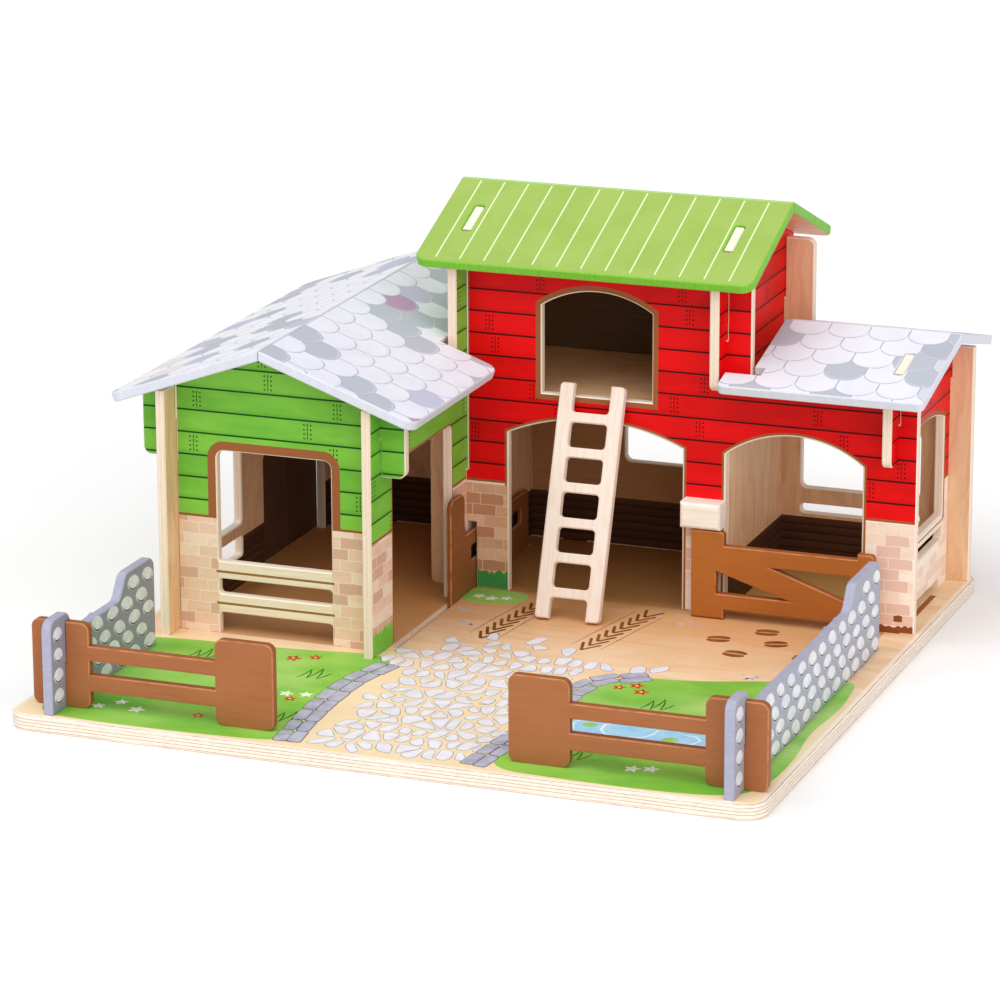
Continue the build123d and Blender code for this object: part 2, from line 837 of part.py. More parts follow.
side_stretch = 1 / cos(radians(side_pitch))
side_front_slope = side_front_run * side_stretch
side_back_slope = side_back_run * side_stretch
side_strip_slope = side_roof_strip_run * side_stretch
side_wall_slope = (barn_mid_y - barn_front_y) * side_stretch
side_roof_right = side_wall_x + ply + side_roof_right_over
side_roof_strip_left = gable_x + ply + side_roof_strip_gap
side_roof_left = shoulder_x + side_roof_wall_gap
side_roof_notch = shoulder_x + side_roof_notch_width
side_roof_back_left = back_shoulder_x + side_roof_wall_gap

with BuildPart() as side_roof_front:
    with BuildSketch(slope_plane(0, barn_mid_y, side_ridge_z, 0, -1, side_pitch)):
        outline(
            (0, side_roof_left),
            (side_wall_slope, side_roof_left),
            (side_wall_slope, side_roof_notch),
            (side_strip_slope, side_roof_notch),
            (side_strip_slope, side_roof_strip_left),
            (side_front_slope, side_roof_strip_left),
            (side_front_slope, side_roof_right),
            (0, side_roof_right),
        )
        fillet(
            corners((side_front_slope, side_roof_strip_left), (side_front_slope, side_roof_right)),
            side_roof_corner_r,
        )
        tab_slots(1, side_wall_x)
    extrude(amount=-ply)
    split(bisect_by=Plane.XZ.offset(-(barn_mid_y - ridge_gap)), keep=Keep.TOP)
    break_edges()
side_roof_front.part.label = "side_roof_front"

with BuildPart() as side_roof_back:
    with BuildSketch(slope_plane(0, barn_mid_y, side_ridge_z, 0, 1, side_pitch)):
        outline(
            (0, -side_roof_back_left),
            (side_back_slope, -side_roof_back_left),
            (side_back_slope, -side_roof_right),
            (0, -side_roof_right),
        )
        tab_slots(-1, side_wall_x)
    extrude(amount=-ply)
    split(bisect_by=Plane.XZ.offset(-(barn_mid_y + ridge_gap)), keep=Keep.BOTTOM)
    break_edges()
side_roof_back.part.label = "side_roof_back"

# ---------------------------------------------------------------- fences and stone walls

fence_top_z = floor_z + fence_height
stone_lap_z = floor_z + stone_lap_height


def fence_panel(start_x, stone_x, tenon_places):
    """Draws a fence: two posts, two rails, and the slot that the stone wall drops into."""
    posts = (start_x + fence_post / 2, start_x + fence_length - fence_post / 2)
    with Locations(*[(post, floor_z + fence_height / 2) for post in posts]):
        Rectangle(fence_post, fence_height)
    fillet(vertices(), fence_corner_r)
    for low, high in ((rail_low_bottom, rail_low_top), (rail_high_bottom, rail_high_top)):
        with Locations((start_x + fence_length / 2, floor_z + (low + high) / 2)):
            Rectangle(fence_length - fence_post, high - low)
    tenons(tenon_places)
    slot(stone_x, stone_lap_z, fence_top_z + cut_past)


with BuildPart() as fence_left:
    with BuildSketch(across(fence_y)):
        fence_panel(fence_left_start, left_wall_x, fence_left_tenons)
    extrude(amount=ply)
    break_edges()
fence_left.part.label = "fence_left"

with BuildPart() as fence_right:
    with BuildSketch(across(fence_y)):
        fence_panel(fence_right_start, side_wall_x, fence_right_tenons)
    extrude(amount=ply)
    break_edges()
fence_right.part.label = "fence_right"


def stone_panel(step, end_y, tenon_places):
    """Draws a low wall with a raised front end and a raised rear end."""
    start_y = front_edge + stone_wall_front
    bump_y = start_y + stone_bump_length
    step_y = front_edge + step
    low_z = floor_z + stone_low_height
    high_z = floor_z + stone_high_height
    outline(
        (start_y, floor_z),
        (end_y, floor_z),
        (end_y, high_z),
        (step_y + stone_slope_length, high_z),
        (step_y, low_z),
        (bump_y, low_z),
        (bump_y - stone_slope_length, high_z),
        (start_y, high_z),
    )
    fillet(corners((end_y, high_z), (start_y, high_z)), stone_corner_r)
    fillet(
        corners(
            (step_y + stone_slope_length, high_z),
            (step_y, low_z),
            (bump_y, low_z),
            (bump_y - stone_slope_length, high_z),
        ),
        stone_corner_r,
    )
    tenons(tenon_places)
    slot(fence_y, floor_z - cut_past, stone_lap_z)


with BuildPart() as stone_wall_left:
    with BuildSketch(along(left_wall_x)):
        stone_panel(stone_left_step, stone_left_end, stone_left_tenons)
    extrude(amount=ply)
    break_edges()
stone_wall_left.part.label = "stone_wall_left"

with BuildPart() as stone_wall_right:
    with BuildSketch(along(side_wall_x)):
        stone_panel(stone_right_step, stone_right_end, stone_right_tenons)
    extrude(amount=ply)
    break_edges()
stone_wall_right.part.label = "stone_wall_right"

# ---------------------------------------------------------------- yard gate

gate_foot_z = floor_z + hinge_gap
gate_post_top_z = block_bottom_z - hinge_gap
gate_start_x = gate_axis_x - gate_hinge_edge
gate_end_x = side_arch_end + gate_over

with BuildPart() as yard_gate:
    with BuildSketch(across(gate_axis_y - ply / 2)):
        outline(
            (gate_start_x, gate_foot_z),
            (gate_start_x + gate_post, gate_foot_z),
            (gate_start_x + gate_post, gate_bottom_z),
            (gate_end_x, gate_bottom_z),
            (gate_end_x, gate_end_z),
            (gate_end_x - gate_end_post, gate_end_z),
            (gate_end_x - gate_end_post, gate_rail_z),
            (gate_start_x + gate_post, gate_rail_z),
            (gate_start_x + gate_post, gate_post_top_z),
            (gate_start_x, gate_post_top_z),
        )
        fillet(
            corners(
                (gate_end_x, gate_bottom_z),
                (gate_end_x, gate_end_z),
                (gate_start_x + gate_post, gate_post_top_z),
            ),
            gate_corner_r,
        )
        Polygon(
            (gate_start_x + brace_low_left, brace_low_top_z),
            (gate_start_x + brace_low_left, brace_low_bottom_z),
            (gate_start_x + brace_low_right, brace_low_bottom_z),
            align=None,
            mode=Mode.SUBTRACT,
        )
        Polygon(
            (gate_start_x + brace_high_left, brace_high_top_z),
            (gate_start_x + brace_high_right, brace_high_top_z),
            (gate_start_x + brace_high_right, brace_high_bottom_z),
            align=None,
            mode=Mode.SUBTRACT,
        )
    extrude(amount=ply)
    break_edges()
    with Locations((gate_axis_x, gate_axis_y, gate_foot_z)):
        Cylinder(pin_r, 2 * pin_seat, mode=Mode.SUBTRACT)
    with Locations((gate_axis_x, gate_axis_y, gate_post_top_z)):
        Cylinder(pin_r, 2 * pin_seat, mode=Mode.SUBTRACT)
yard_gate.part.label = "yard_gate"


def hinge_pins(x, y, low_z, high_z):
    """Makes the pins that stand out of a door's foot and top."""
    length = pin_seat + pin_reach
    with Locations((x, y, low_z - pin_reach), (x, y, high_z - pin_seat)):
        Cylinder(pin_r, length, align=(Align.CENTER, Align.CENTER, Align.MIN))


with BuildPart() as yard_gate_pins:
    hinge_pins(gate_axis_x, gate_axis_y, gate_foot_z, gate_post_top_z)
yard_gate_pins.part.label = "yard_gate_pins"

with BuildPart() as pivot_block:
    with BuildSketch(Plane.XY.offset(block_bottom_z)):
        with Locations((gate_axis_x, barn_front_y - block_depth / 2)):
            Rectangle(block_width, block_depth)
    extrude(amount=block_height)
    front_face = faces().sort_by(Axis.Y)[0]
    fillet(front_face.edges(), block_edge_r)
    with Locations((gate_axis_x, gate_axis_y, block_bottom_z)):
        Cylinder(pin_bore_r, 2 * (pin_reach + pin_end_gap - hinge_gap), mode=Mode.SUBTRACT)
    with BuildSketch(Plane.XZ.offset(-barn_front_y)):
        with Locations(*[(x, block_middle_z) for x in block_dowel_places]):
            Circle(dowel_r + dowel_gap)
    extrude(amount=dowel_in_block + dowel_gap, mode=Mode.SUBTRACT)
pivot_block.part.label = "pivot_block"

with BuildPart() as block_dowels:
    with BuildSketch(Plane.XZ.offset(-(barn_front_y + dowel_in_wall))):
        with Locations(*[(x, block_middle_z) for x in block_dowel_places]):
            Circle(dowel_r)
    extrude(amount=dowel_in_wall + dowel_in_block)
block_dowels.part.label = "block_dowels"

# ---------------------------------------------------------------- sliding gate

slider_end = slider_y + slider_length
slider_foot_z = floor_z - groove_depth + seat_gap

with BuildPart() as stable_gate:
    with BuildSketch(along(slider_x)):
        outline(
            (slider_y, slider_foot_z),
            (slider_end, slider_foot_z),
            (slider_end, slider_top_z),
            (slider_y + slider_handle, slider_top_z),
            (slider_y + slider_handle, slider_handle_z),
            (slider_y, slider_handle_z),
        )
        fillet(
            corners((slider_y, slider_handle_z), (slider_y + slider_handle, slider_handle_z)),
            slider_corner_r,
        )
        fillet(corners((slider_end, slider_top_z)), gate_corner_r)
        opening(
            slider_y + slider_slot_start,
            slider_y + slider_slot_end,
            slider_slot_low_z,
            slider_slot_high_z,
            gate_corner_r,
        )
    extrude(amount=slider_ply)
    break_edges()
stable_gate.part.label = "stable_gate"

# ---------------------------------------------------------------- side doors

door_outer_x = door_mid_x - ply / 2


def door_leaf(hinge_y, meeting_y):
    """Draws a leaf from its hinge edge to the edge where the two leaves meet."""
    outline(
        (hinge_y, gate_foot_z),
        (meeting_y, gate_foot_z),
        (meeting_y, door_top_z),
        (hinge_y, door_top_z),
    )


def round_hinge_edge(hinge_end):
    """Rounds the long edges at the hinge end, so that the leaf turns close to the wall."""
    upright = edges().filter_by(Axis.Z).sort_by(Axis.Y)
    pair = upright[:2] if hinge_end < 0 else upright[-2:]
    fillet(pair, door_hinge_r)


def pin_seats(x, y, low_z, high_z):
    """Bores the seats of the hinge pins into a leaf's foot and top."""
    with Locations((x, y, low_z), (x, y, high_z)):
        Cylinder(pin_r, 2 * pin_seat, mode=Mode.SUBTRACT)


with BuildPart() as side_door_front:
    with BuildSketch(along(door_outer_x)):
        door_leaf(door_front_axis_y - ply / 2, door_middle_y - door_middle_gap / 2)
    extrude(amount=ply)
    round_hinge_edge(-1)
    pin_seats(door_mid_x, door_front_axis_y, gate_foot_z, door_top_z)
side_door_front.part.label = "side_door_front"

with BuildPart() as side_door_back:
    with BuildSketch(along(door_outer_x)):
        door_leaf(door_back_axis_y + ply / 2, door_middle_y + door_middle_gap / 2)
    extrude(amount=ply)
    round_hinge_edge(1)
    pin_seats(door_mid_x, door_back_axis_y, gate_foot_z, door_top_z)
side_door_back.part.label = "side_door_back"

with BuildPart() as side_door_front_pins:
    hinge_pins(door_mid_x, door_front_axis_y, gate_foot_z, door_top_z)
side_door_front_pins.part.label = "side_door_front_pins"

with BuildPart() as side_door_back_pins:
    hinge_pins(door_mid_x, door_back_axis_y, gate_foot_z, door_top_z)
side_door_back_pins.part.label = "side_door_back_pins"

head_length = side_doorway_width + 2 * (door_overlap + head_over)

with BuildPart() as door_head:
    with BuildSketch(Plane.XY.offset(head_bottom_z)):
        with Locations((left_wall_x - head_depth / 2, door_middle_y)):
            Rectangle(head_depth, head_length)
    extrude(amount=head_height)
    fillet(faces().sort_by(Axis.X)[0].edges(), head_edge_r)
    with Locations(
        (door_mid_x, door_front_axis_y, head_bottom_z), (door_mid_x, door_back_axis_y, head_bottom_z)
    ):
        Cylinder(pin_bore_r, 2 * (pin_reach + pin_end_gap - hinge_gap), mode=Mode.SUBTRACT)
    with BuildSketch(Plane.YZ.offset(left_wall_x)):
        with Locations(*[(y, head_middle_z) for y in head_dowel_places]):
            Circle(dowel_r + dowel_gap)
    extrude(amount=-(dowel_in_block + dowel_gap), mode=Mode.SUBTRACT)
door_head.part.label = "door_head"

with BuildPart() as head_dowels:
    with BuildSketch(Plane.YZ.offset(left_wall_x + dowel_in_wall)):
        with Locations(*[(y, head_middle_z) for y in head_dowel_places]):
            Circle(dowel_r)
    extrude(amount=-(dowel_in_wall + dowel_in_block))
head_dowels.part.label = "head_dowels"

# ---------------------------------------------------------------- ladder

lean = radians(ladder_lean)
ladder_reach = (loft_window_sill_z - floor_z) * tan(lean)
ladder_foot_y = barn_front_y - ladder_reach - ply / cos(lean) - seat_gap
ladder_start = (ply * sin(lean) + seat_gap) / cos(lean)
ladder_plane = Plane(
    origin=((loft_window[0] + loft_window[1]) / 2 - ladder_offset, ladder_foot_y, floor_z),
    x_dir=(1, 0, 0),
    z_dir=(0, -cos(lean), sin(lean)),
)
rung_width = ladder_width - 2 * ladder_rail
gap_height = rung_pitch - rung_height

with BuildPart() as ladder:
    with BuildSketch(ladder_plane):
        with Locations((0, ladder_start + ladder_length / 2)):
            RectangleRounded(ladder_width, ladder_length, ladder_corner_r)
        for index in range(rung_count - 1):
            gap_bottom = ladder_start + first_rung + rung_height + index * rung_pitch
            with Locations((0, gap_bottom + gap_height / 2)):
                RectangleRounded(rung_width, gap_height, ladder_corner_r, mode=Mode.SUBTRACT)
        with Locations((0, ladder_start)):
            RectangleRounded(rung_width, 2 * first_rung, ladder_corner_r, mode=Mode.SUBTRACT)
        top_rung_top = ladder_start + first_rung + rung_height + (rung_count - 1) * rung_pitch
        with Locations((0, ladder_start + ladder_length)):
            RectangleRounded(
                rung_width,
                2 * (ladder_start + ladder_length - top_rung_top),
                ladder_corner_r,
                mode=Mode.SUBTRACT,
            )
    extrude(amount=-ply)
    break_edges()
ladder.part.label = "ladder"

# ---------------------------------------------------------------- files

os.makedirs("parts", exist_ok=True)
pieces = (
    base_board,
    stable_front_wall,
    stable_left_wall,
    divider_wall,
    barn_front_wall,
    back_wall,
    barn_gable_wall,
    side_barn_wall,
    loft_floor,
    loft_cleats,
    stable_roof_left,
    stable_roof_right,
    barn_roof_front,
    barn_roof_back,
    side_roof_front,
    side_roof_back,
    fence_left,
    fence_right,
    stone_wall_left,
    stone_wall_right,
    yard_gate,
    yard_gate_pins,
    pivot_block,
    block_dowels,
    stable_gate,
    side_door_front,
    side_door_back,
    side_door_front_pins,
    side_door_back_pins,
    door_head,
    head_dowels,
    ladder,
)
for piece in pieces:
    export_step(piece.part, f"parts/{piece.part.label}.step")
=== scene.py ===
import json
import logging
import math
import random
from dataclasses import dataclass
from enum import Enum
from typing import Optional, Sequence, Union

import bmesh
import bpy
from mathutils import Matrix, Vector

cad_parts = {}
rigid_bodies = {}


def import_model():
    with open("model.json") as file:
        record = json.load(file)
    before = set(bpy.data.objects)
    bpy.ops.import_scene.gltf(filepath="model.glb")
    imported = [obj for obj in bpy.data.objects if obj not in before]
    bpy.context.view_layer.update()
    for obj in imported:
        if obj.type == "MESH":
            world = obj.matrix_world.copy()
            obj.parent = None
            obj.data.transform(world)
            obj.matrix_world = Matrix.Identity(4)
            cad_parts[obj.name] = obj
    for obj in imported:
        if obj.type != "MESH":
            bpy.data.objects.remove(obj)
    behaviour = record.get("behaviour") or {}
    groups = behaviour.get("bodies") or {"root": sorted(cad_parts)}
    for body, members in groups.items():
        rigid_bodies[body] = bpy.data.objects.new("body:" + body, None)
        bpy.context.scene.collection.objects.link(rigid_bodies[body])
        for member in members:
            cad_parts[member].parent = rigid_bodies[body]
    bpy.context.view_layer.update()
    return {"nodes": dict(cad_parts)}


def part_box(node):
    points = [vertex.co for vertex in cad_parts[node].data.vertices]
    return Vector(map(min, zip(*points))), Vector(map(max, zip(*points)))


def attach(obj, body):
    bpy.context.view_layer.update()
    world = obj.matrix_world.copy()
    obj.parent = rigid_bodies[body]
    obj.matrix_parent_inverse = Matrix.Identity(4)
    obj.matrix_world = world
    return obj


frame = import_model()

log = logging.getLogger("toy_barn")

Socket, Node, Material = bpy.types.NodeSocket, bpy.types.Node, bpy.types.Material
Point = tuple[float, float]
Place = tuple[float, float, float]
Points = tuple[Point, ...]
Colour = tuple[float, float, float, float]

PLY = 6.0
FLOOR_Z = 10.0
MM = 0.001

# places of the walls, in millimetres from the board's centre
LEFT_WALL_X = -206.5
DIVIDER_X = -72.5
GABLE_X = 98.0
SIDE_WALL_X = 207.5
STABLE_FRONT_Y = -49.5
BARN_FRONT_Y = 92.0
BARN_MIDDLE_Y = 154.0
BACK_Y = 210.0
FENCE_Y = -208.0
STABLE_MIDDLE_X = -136.5


def tone(code: str) -> Colour:
    """Turns a six-figure colour code into the linear colour that shaders work in.

    Args:
        code: Red, green and blue as two hexadecimal figures each.

    Returns:
        The linear colour with an alpha of one.
    """
    parts = [int(code[i : i + 2], 16) / 255 for i in (0, 2, 4)]
    linear = [p / 12.92 if p <= 0.04045 else ((p + 0.055) / 1.055) ** 2.4 for p in parts]
    return (linear[0], linear[1], linear[2], 1.0)


# ---- material maths


class Value:
    """One number in a material's node tree, used with ordinary arithmetic."""

    def __init__(self, recipe: "Recipe", socket: Socket) -> None:
        """Keeps the socket and the recipe that it belongs to."""
        self.recipe = recipe
        self.socket = socket

    def __add__(self, other: "Number") -> "Value":
        """Sum."""
        return self.recipe.math("ADD", self, other)

    def __radd__(self, other: "Number") -> "Value":
        """Sum, number first."""
        return self.recipe.math("ADD", other, self)

    def __sub__(self, other: "Number") -> "Value":
        """Difference."""
        return self.recipe.math("SUBTRACT", self, other)

    def __rsub__(self, other: "Number") -> "Value":
        """Difference, number first."""
        return self.recipe.math("SUBTRACT", other, self)

    def __mul__(self, other: "Number") -> "Value":
        """Product, which also joins two masks."""
        return self.recipe.math("MULTIPLY", self, other)

    def __rmul__(self, other: "Number") -> "Value":
        """Product, number first."""
        return self.recipe.math("MULTIPLY", other, self)

    def __truediv__(self, other: "Number") -> "Value":
        """Quotient."""
        return self.recipe.math("DIVIDE", self, other)

    def __gt__(self, other: "Number") -> "Value":
        """A mask: one where this is greater."""
        return self.recipe.math("GREATER_THAN", self, other)

    def __lt__(self, other: "Number") -> "Value":
        """A mask: one where this is less."""
        return self.recipe.math("LESS_THAN", self, other)

    def __abs__(self) -> "Value":
        """Size without sign."""
        return self.recipe.math("ABSOLUTE", self)

    def floor(self) -> "Value":
        """Whole part."""
        return self.recipe.math("FLOOR", self)

    def part(self) -> "Value":
        """Part after the point, never negative."""
        return self.recipe.math("FRACT", self)

    def root(self) -> "Value":
        """Square root."""
        return self.recipe.math("SQRT", self)

    def most(self, other: "Number") -> "Value":
        """The greater of the two, which also unites two masks."""
        return self.recipe.math("MAXIMUM", self, other)

    def least(self, other: "Number") -> "Value":
        """The lesser of the two."""
        return self.recipe.math("MINIMUM", self, other)


Number = Union[Value, float]
Paint = Union[Colour, Socket]


class Recipe:
    """Builds one procedural material out of small steps."""

    lacquer_roughness: float = 0.3
    specular_level: float = 0.14
    bump_strength: float = 0.6

    def __init__(self, name: str) -> None:
        """Starts an empty material with a Principled shader.

        Args:
            name: The material's name.
        """
        self.material = bpy.data.materials.new(name)
        self.material.use_nodes = True
        self.tree = self.material.node_tree
        self.tree.nodes.clear()
        self.shader = self.node("ShaderNodeBsdfPrincipled")
        output = self.node("ShaderNodeOutputMaterial")
        self.tree.links.new(self.shader.outputs["BSDF"], output.inputs["Surface"])

    def node(self, kind: str, **settings: object) -> Node:
        """Adds a node and sets its options.

        Args:
            kind: The node's type name.
            **settings: Options to set on it.

        Returns:
            The new node.
        """
        made = self.tree.nodes.new(kind)
        for key, value in settings.items():
            setattr(made, key, value)
        return made

    def feed(self, socket: Socket, value: object) -> None:
        """Links a value or socket to an input, or sets a constant on it.

        Args:
            socket: The input.
            value: A Value, a socket, or a constant.
        """
        if isinstance(value, Value):
            value = value.socket
        if isinstance(value, Socket):
            self.tree.links.new(value, socket)
        else:
            socket.default_value = value

    def math(self, operation: str, *values: Number) -> Value:
        """Adds one Math node.

        Args:
            operation: The node's operation.
            *values: What goes in.

        Returns:
            What comes out.
        """
        made = self.node("ShaderNodeMath", operation=operation)
        for socket, value in zip(made.inputs, values):
            self.feed(socket, value)
        return Value(self, made.outputs[0])

    def place(self) -> tuple[Value, Value, Value]:
        """Reads the point being shaded.

        Returns:
            Its three coordinates in millimetres, in the object's frame.
        """
        coordinates = self.node("ShaderNodeTexCoord")
        split = self.node("ShaderNodeSeparateXYZ")
        self.tree.links.new(coordinates.outputs["Object"], split.inputs[0])
        return tuple(Value(self, s) * (1.0 / MM) for s in split.outputs)

    def facing(self) -> tuple[Value, Value, Value]:
        """Reads the direction that the face points.

        Returns:
            Its three parts, in the object's frame.
        """
        geometry = self.node("ShaderNodeNewGeometry")
        turn = self.node(
            "ShaderNodeVectorTransform", vector_type="NORMAL", convert_from="WORLD", convert_to="OBJECT"
        )
        self.tree.links.new(geometry.outputs["True Normal"], turn.inputs[0])
        split = self.node("ShaderNodeSeparateXYZ")
        self.tree.links.new(turn.outputs[0], split.inputs[0])
        return tuple(Value(self, s) for s in split.outputs)

    def vector(self, x: Number, y: Number, z: Number = 0.0) -> Socket:
        """Joins three numbers into a vector.

        Args:
            x: First part.
            y: Second part.
            z: Third part.

        Returns:
            The vector.
        """
        made = self.node("ShaderNodeCombineXYZ")
        for socket, value in zip(made.inputs, (x, y, z)):
            self.feed(socket, value)
        return made.outputs[0]

    def noise(self, x: Number, y: Number, z: Number = 0.0, detail: float = 2.0) -> Value:
        """Smooth noise around one half, with features about one unit wide.

        Args:
            x: First coordinate, already scaled.
            y: Second coordinate.
            z: Third coordinate.
            detail: How many finer layers are added.

        Returns:
            The noise.
        """
        made = self.node("ShaderNodeTexNoise", noise_dimensions="3D")
        self.feed(made.inputs["Vector"], self.vector(x, y, z))
        made.inputs["Scale"].default_value = 1.0
        made.inputs["Detail"].default_value = detail
        return Value(self, made.outputs[0])

    def chance(self, x: Number, y: Number = 0.0, z: Number = 0.0) -> Value:
        """Draws a number at random for each cell.

        Args:
            x: The cell's first number.
            y: Its second number.
            z: Its third number, which also serves as a seed.

        Returns:
            A number from zero to one.
        """
        made = self.node("ShaderNodeTexWhiteNoise", noise_dimensions="3D")
        self.feed(made.inputs["Vector"], self.vector(x, y, z))
        return Value(self, made.outputs["Value"])

    def ramp(self, value: Number, low: float, high: float) -> Value:
        """Goes smoothly from zero to one.

        Args:
            value: What is looked at.
            low: Where the result is zero.
            high: Where the result is one.

        Returns:
            The result.
        """
        made = self.node("ShaderNodeMapRange", interpolation_type="SMOOTHSTEP")
        for socket, given in zip(made.inputs, (value, low, high, 0.0, 1.0)):
            self.feed(socket, given)
        return Value(self, made.outputs[0])

    def between(self, value: Value, low: float, high: float) -> Value:
        """A mask: one where the value lies between the limits."""
        return (value > low) * (value < high)

    def over(self, under: Paint, top: Paint, mask: Number) -> Socket:
        """Lays one paint over another.

        Args:
            under: The paint beneath.
            top: The paint on top.
            mask: One where the top paint shows.

        Returns:
            The mixed colour.
        """
        made = self.node("ShaderNodeMix", data_type="RGBA", clamp_factor=True)
        self.feed(made.inputs[0], mask)
        self.feed(made.inputs[6], under)
        self.feed(made.inputs[7], top)
        return made.outputs[2]

    def done(
        self,
        paint: Paint,
        roughness: Number = 0.5,
        height: Optional[Value] = None,
        depth: float = 0.0001,
        coat: float = 0.0,
    ) -> Material:
        """Connects the colour, roughness and bump, and returns the material.

        Args:
            paint: The surface's colour.
            roughness: How matt it is.
            height: The relief, from zero to one.
            depth: How high a relief of one stands, in metres.
            coat: Weight of a clear lacquer.

        Returns:
            The finished material.
        """
        self.feed(self.shader.inputs["Base Color"], paint)
        self.feed(self.shader.inputs["Roughness"], roughness)
        self.shader.inputs["Coat Weight"].default_value = coat
        self.shader.inputs["Coat Roughness"].default_value = self.lacquer_roughness
        self.shader.inputs["Specular IOR Level"].default_value = self.specular_level
        if height is not None:
            bump = self.node("ShaderNodeBump")
            self.feed(bump.inputs["Height"], height)
            bump.inputs["Distance"].default_value = depth
            bump.inputs["Strength"].default_value = self.bump_strength
            self.tree.links.new(bump.outputs[0], self.shader.inputs["Normal"])
        return self.material


# ---- wood


@dataclass(frozen=True)
class WoodLook:
    """Sanded birch ply under a thin lacquer: its face, and its layered edge."""

    face: Colour = tone("F1C8A0")
    streak: Colour = tone("E4B48A")
    edge: Colour = tone("F9E8D6")
    pore: Colour = tone("C68C57")
    cross_layer: Colour = tone("EBCDAF")
    glue_line: Colour = tone("D9AE88")
    layer: float = 1.2

    def draw_face(self, r: Recipe, along: Value, across: Value, depth: Value) -> Socket:
        """The long soft streaks and short pores of a peeled face veneer.

        Args:
            r: The material being built.
            along: Place along the grain.
            across: Place across the grain.
            depth: Place through the sheet, so that two sheets differ.

        Returns:
            The face's colour.
        """
        wave = r.noise(along * 0.012, across * 0.05, depth * 0.02) * 9.0
        streak = r.noise(along * 0.02, across * 0.22 + wave, depth * 0.02, detail=4.0)
        pores = r.noise(along * 0.12, across * 1.9, depth * 0.1, detail=1.0)
        paint = r.over(self.face, self.streak, r.ramp(streak, 0.36, 0.7))
        return r.over(paint, self.pore, r.ramp(pores, 0.6, 0.8) * 0.25)

    def draw_edge(self, r: Recipe, depth: Value, along: Value, upright: Value) -> Socket:
        """The cut layers of the ply, with a thin line of glue between them.

        Args:
            r: The material being built.
            depth: Place through the sheet.
            along: Place along the edge.
            upright: A second place along the edge, for edges that turn.

        Returns:
            The edge's colour.
        """
        step = (depth + r.noise(along * 0.05, upright * 0.05) * 0.3) / self.layer
        near = abs(step.part() - 0.5) * 2.0
        cross_grain = r.chance(step.floor(), 3.0)
        fleck = r.noise(along * 0.5, upright * 0.5, depth * 2.0, detail=2.0)
        paint = r.over(self.edge, self.cross_layer, cross_grain * 0.5 + r.ramp(fleck, 0.5, 0.75) * 0.3)
        broken = r.ramp(r.noise(along * 0.09, upright * 0.09, step.floor() * 3.1), 0.35, 0.6)
        return r.over(paint, self.glue_line, r.ramp(near, 0.72, 1.0) * broken * 0.8)


# ---- printed patterns


@dataclass(frozen=True)
class BoardLook:
    """Printed boards with dark joints and pairs of nail heads at the butt ends."""

    paint: Colour
    deep: Colour
    line: Colour
    first_joint: float
    pitch: float = 14.0
    line_width: float = 1.0
    length: float = 92.0
    nail_r: float = 0.58
    nail_side: float = 2.2
    nail_up: float = 2.8
    seam_half: float = 0.3
    seam_reach: float = 5.4
    dash: float = 2.6
    marked: bool = True

    def draw(self, r: Recipe, h: Value, v: Value) -> Socket:
        """Draws the boards.

        Args:
            r: The material being built.
            h: Place along the boards.
            v: Height.

        Returns:
            The print's colour.
        """
        row = ((v - self.first_joint) / self.pitch).floor()
        rise = v - self.first_joint - row * self.pitch
        cloud = r.noise(h * 0.03, v * 0.09, row * 5.0, detail=3.0)
        shade = (r.chance(row, 7.0) - 0.5) * 0.35 + cloud * 0.9
        paint = r.over(self.paint, self.deep, r.ramp(shade, 0.25, 0.85) * 0.55)
        low_edge = r.ramp(rise, 4.0, 0.4)
        paint = r.over(paint, self.deep, low_edge * 0.5)
        ink = (rise < self.line_width).most(rise > self.pitch - 0.1)
        if self.marked:
            shift = r.chance(row, 2.0)
            place = (h / self.length + shift).part() * self.length - self.length / 2
            up = rise - self.pitch / 2 - self.line_width / 2
            dashed = (up / self.dash).part() > 0.2
            seam = (abs(place) < self.seam_half) * (abs(up) < self.seam_reach) * dashed
            side = abs(place) - self.nail_side
            row_up = abs(abs(up) - self.nail_up) - self.nail_up / 2
            nail = (side * side + row_up * row_up).root() < self.nail_r
            ink = ink.most(seam).most(nail)
        return r.over(paint, self.line, ink)


@dataclass(frozen=True)
class BrickLook:
    """Printed bricks in pale tones with a lighter mortar line."""

    tones: tuple[Colour, Colour, Colour] = (tone("F3CFB6"), tone("DFB49C"), tone("F8E0CB"))
    mortar: Colour = tone("FBECDA")
    row: float = 7.2
    length: float = 15.5
    line_width: float = 0.5

    def draw(self, r: Recipe, h: Value, v: Value) -> Socket:
        """Draws the bricks.

        Args:
            r: The material being built.
            h: Place along the courses.
            v: Height.

        Returns:
            The print's colour.
        """
        wobble = (r.noise(h * 0.15, v * 0.15) - 0.5) * 1.6
        course = ((v + wobble) / self.row).floor()
        up = (v + wobble) - course * self.row
        run = (h + wobble) / self.length + course * 0.5 + r.chance(course, 1.0) * 0.3
        column = run.floor()
        along = (run - column) * self.length
        pick = r.chance(column, course, 3.0)
        paint = r.over(self.tones[0], self.tones[1], pick > 0.45)
        paint = r.over(paint, self.tones[2], pick > 0.75)
        cloud = r.noise(h * 0.08, v * 0.2, column)
        paint = r.over(paint, self.tones[1], r.ramp(cloud, 0.4, 0.8) * 0.35)
        gap = (up < self.line_width).most(along < self.line_width)
        return r.over(paint, self.mortar, gap * 0.85)


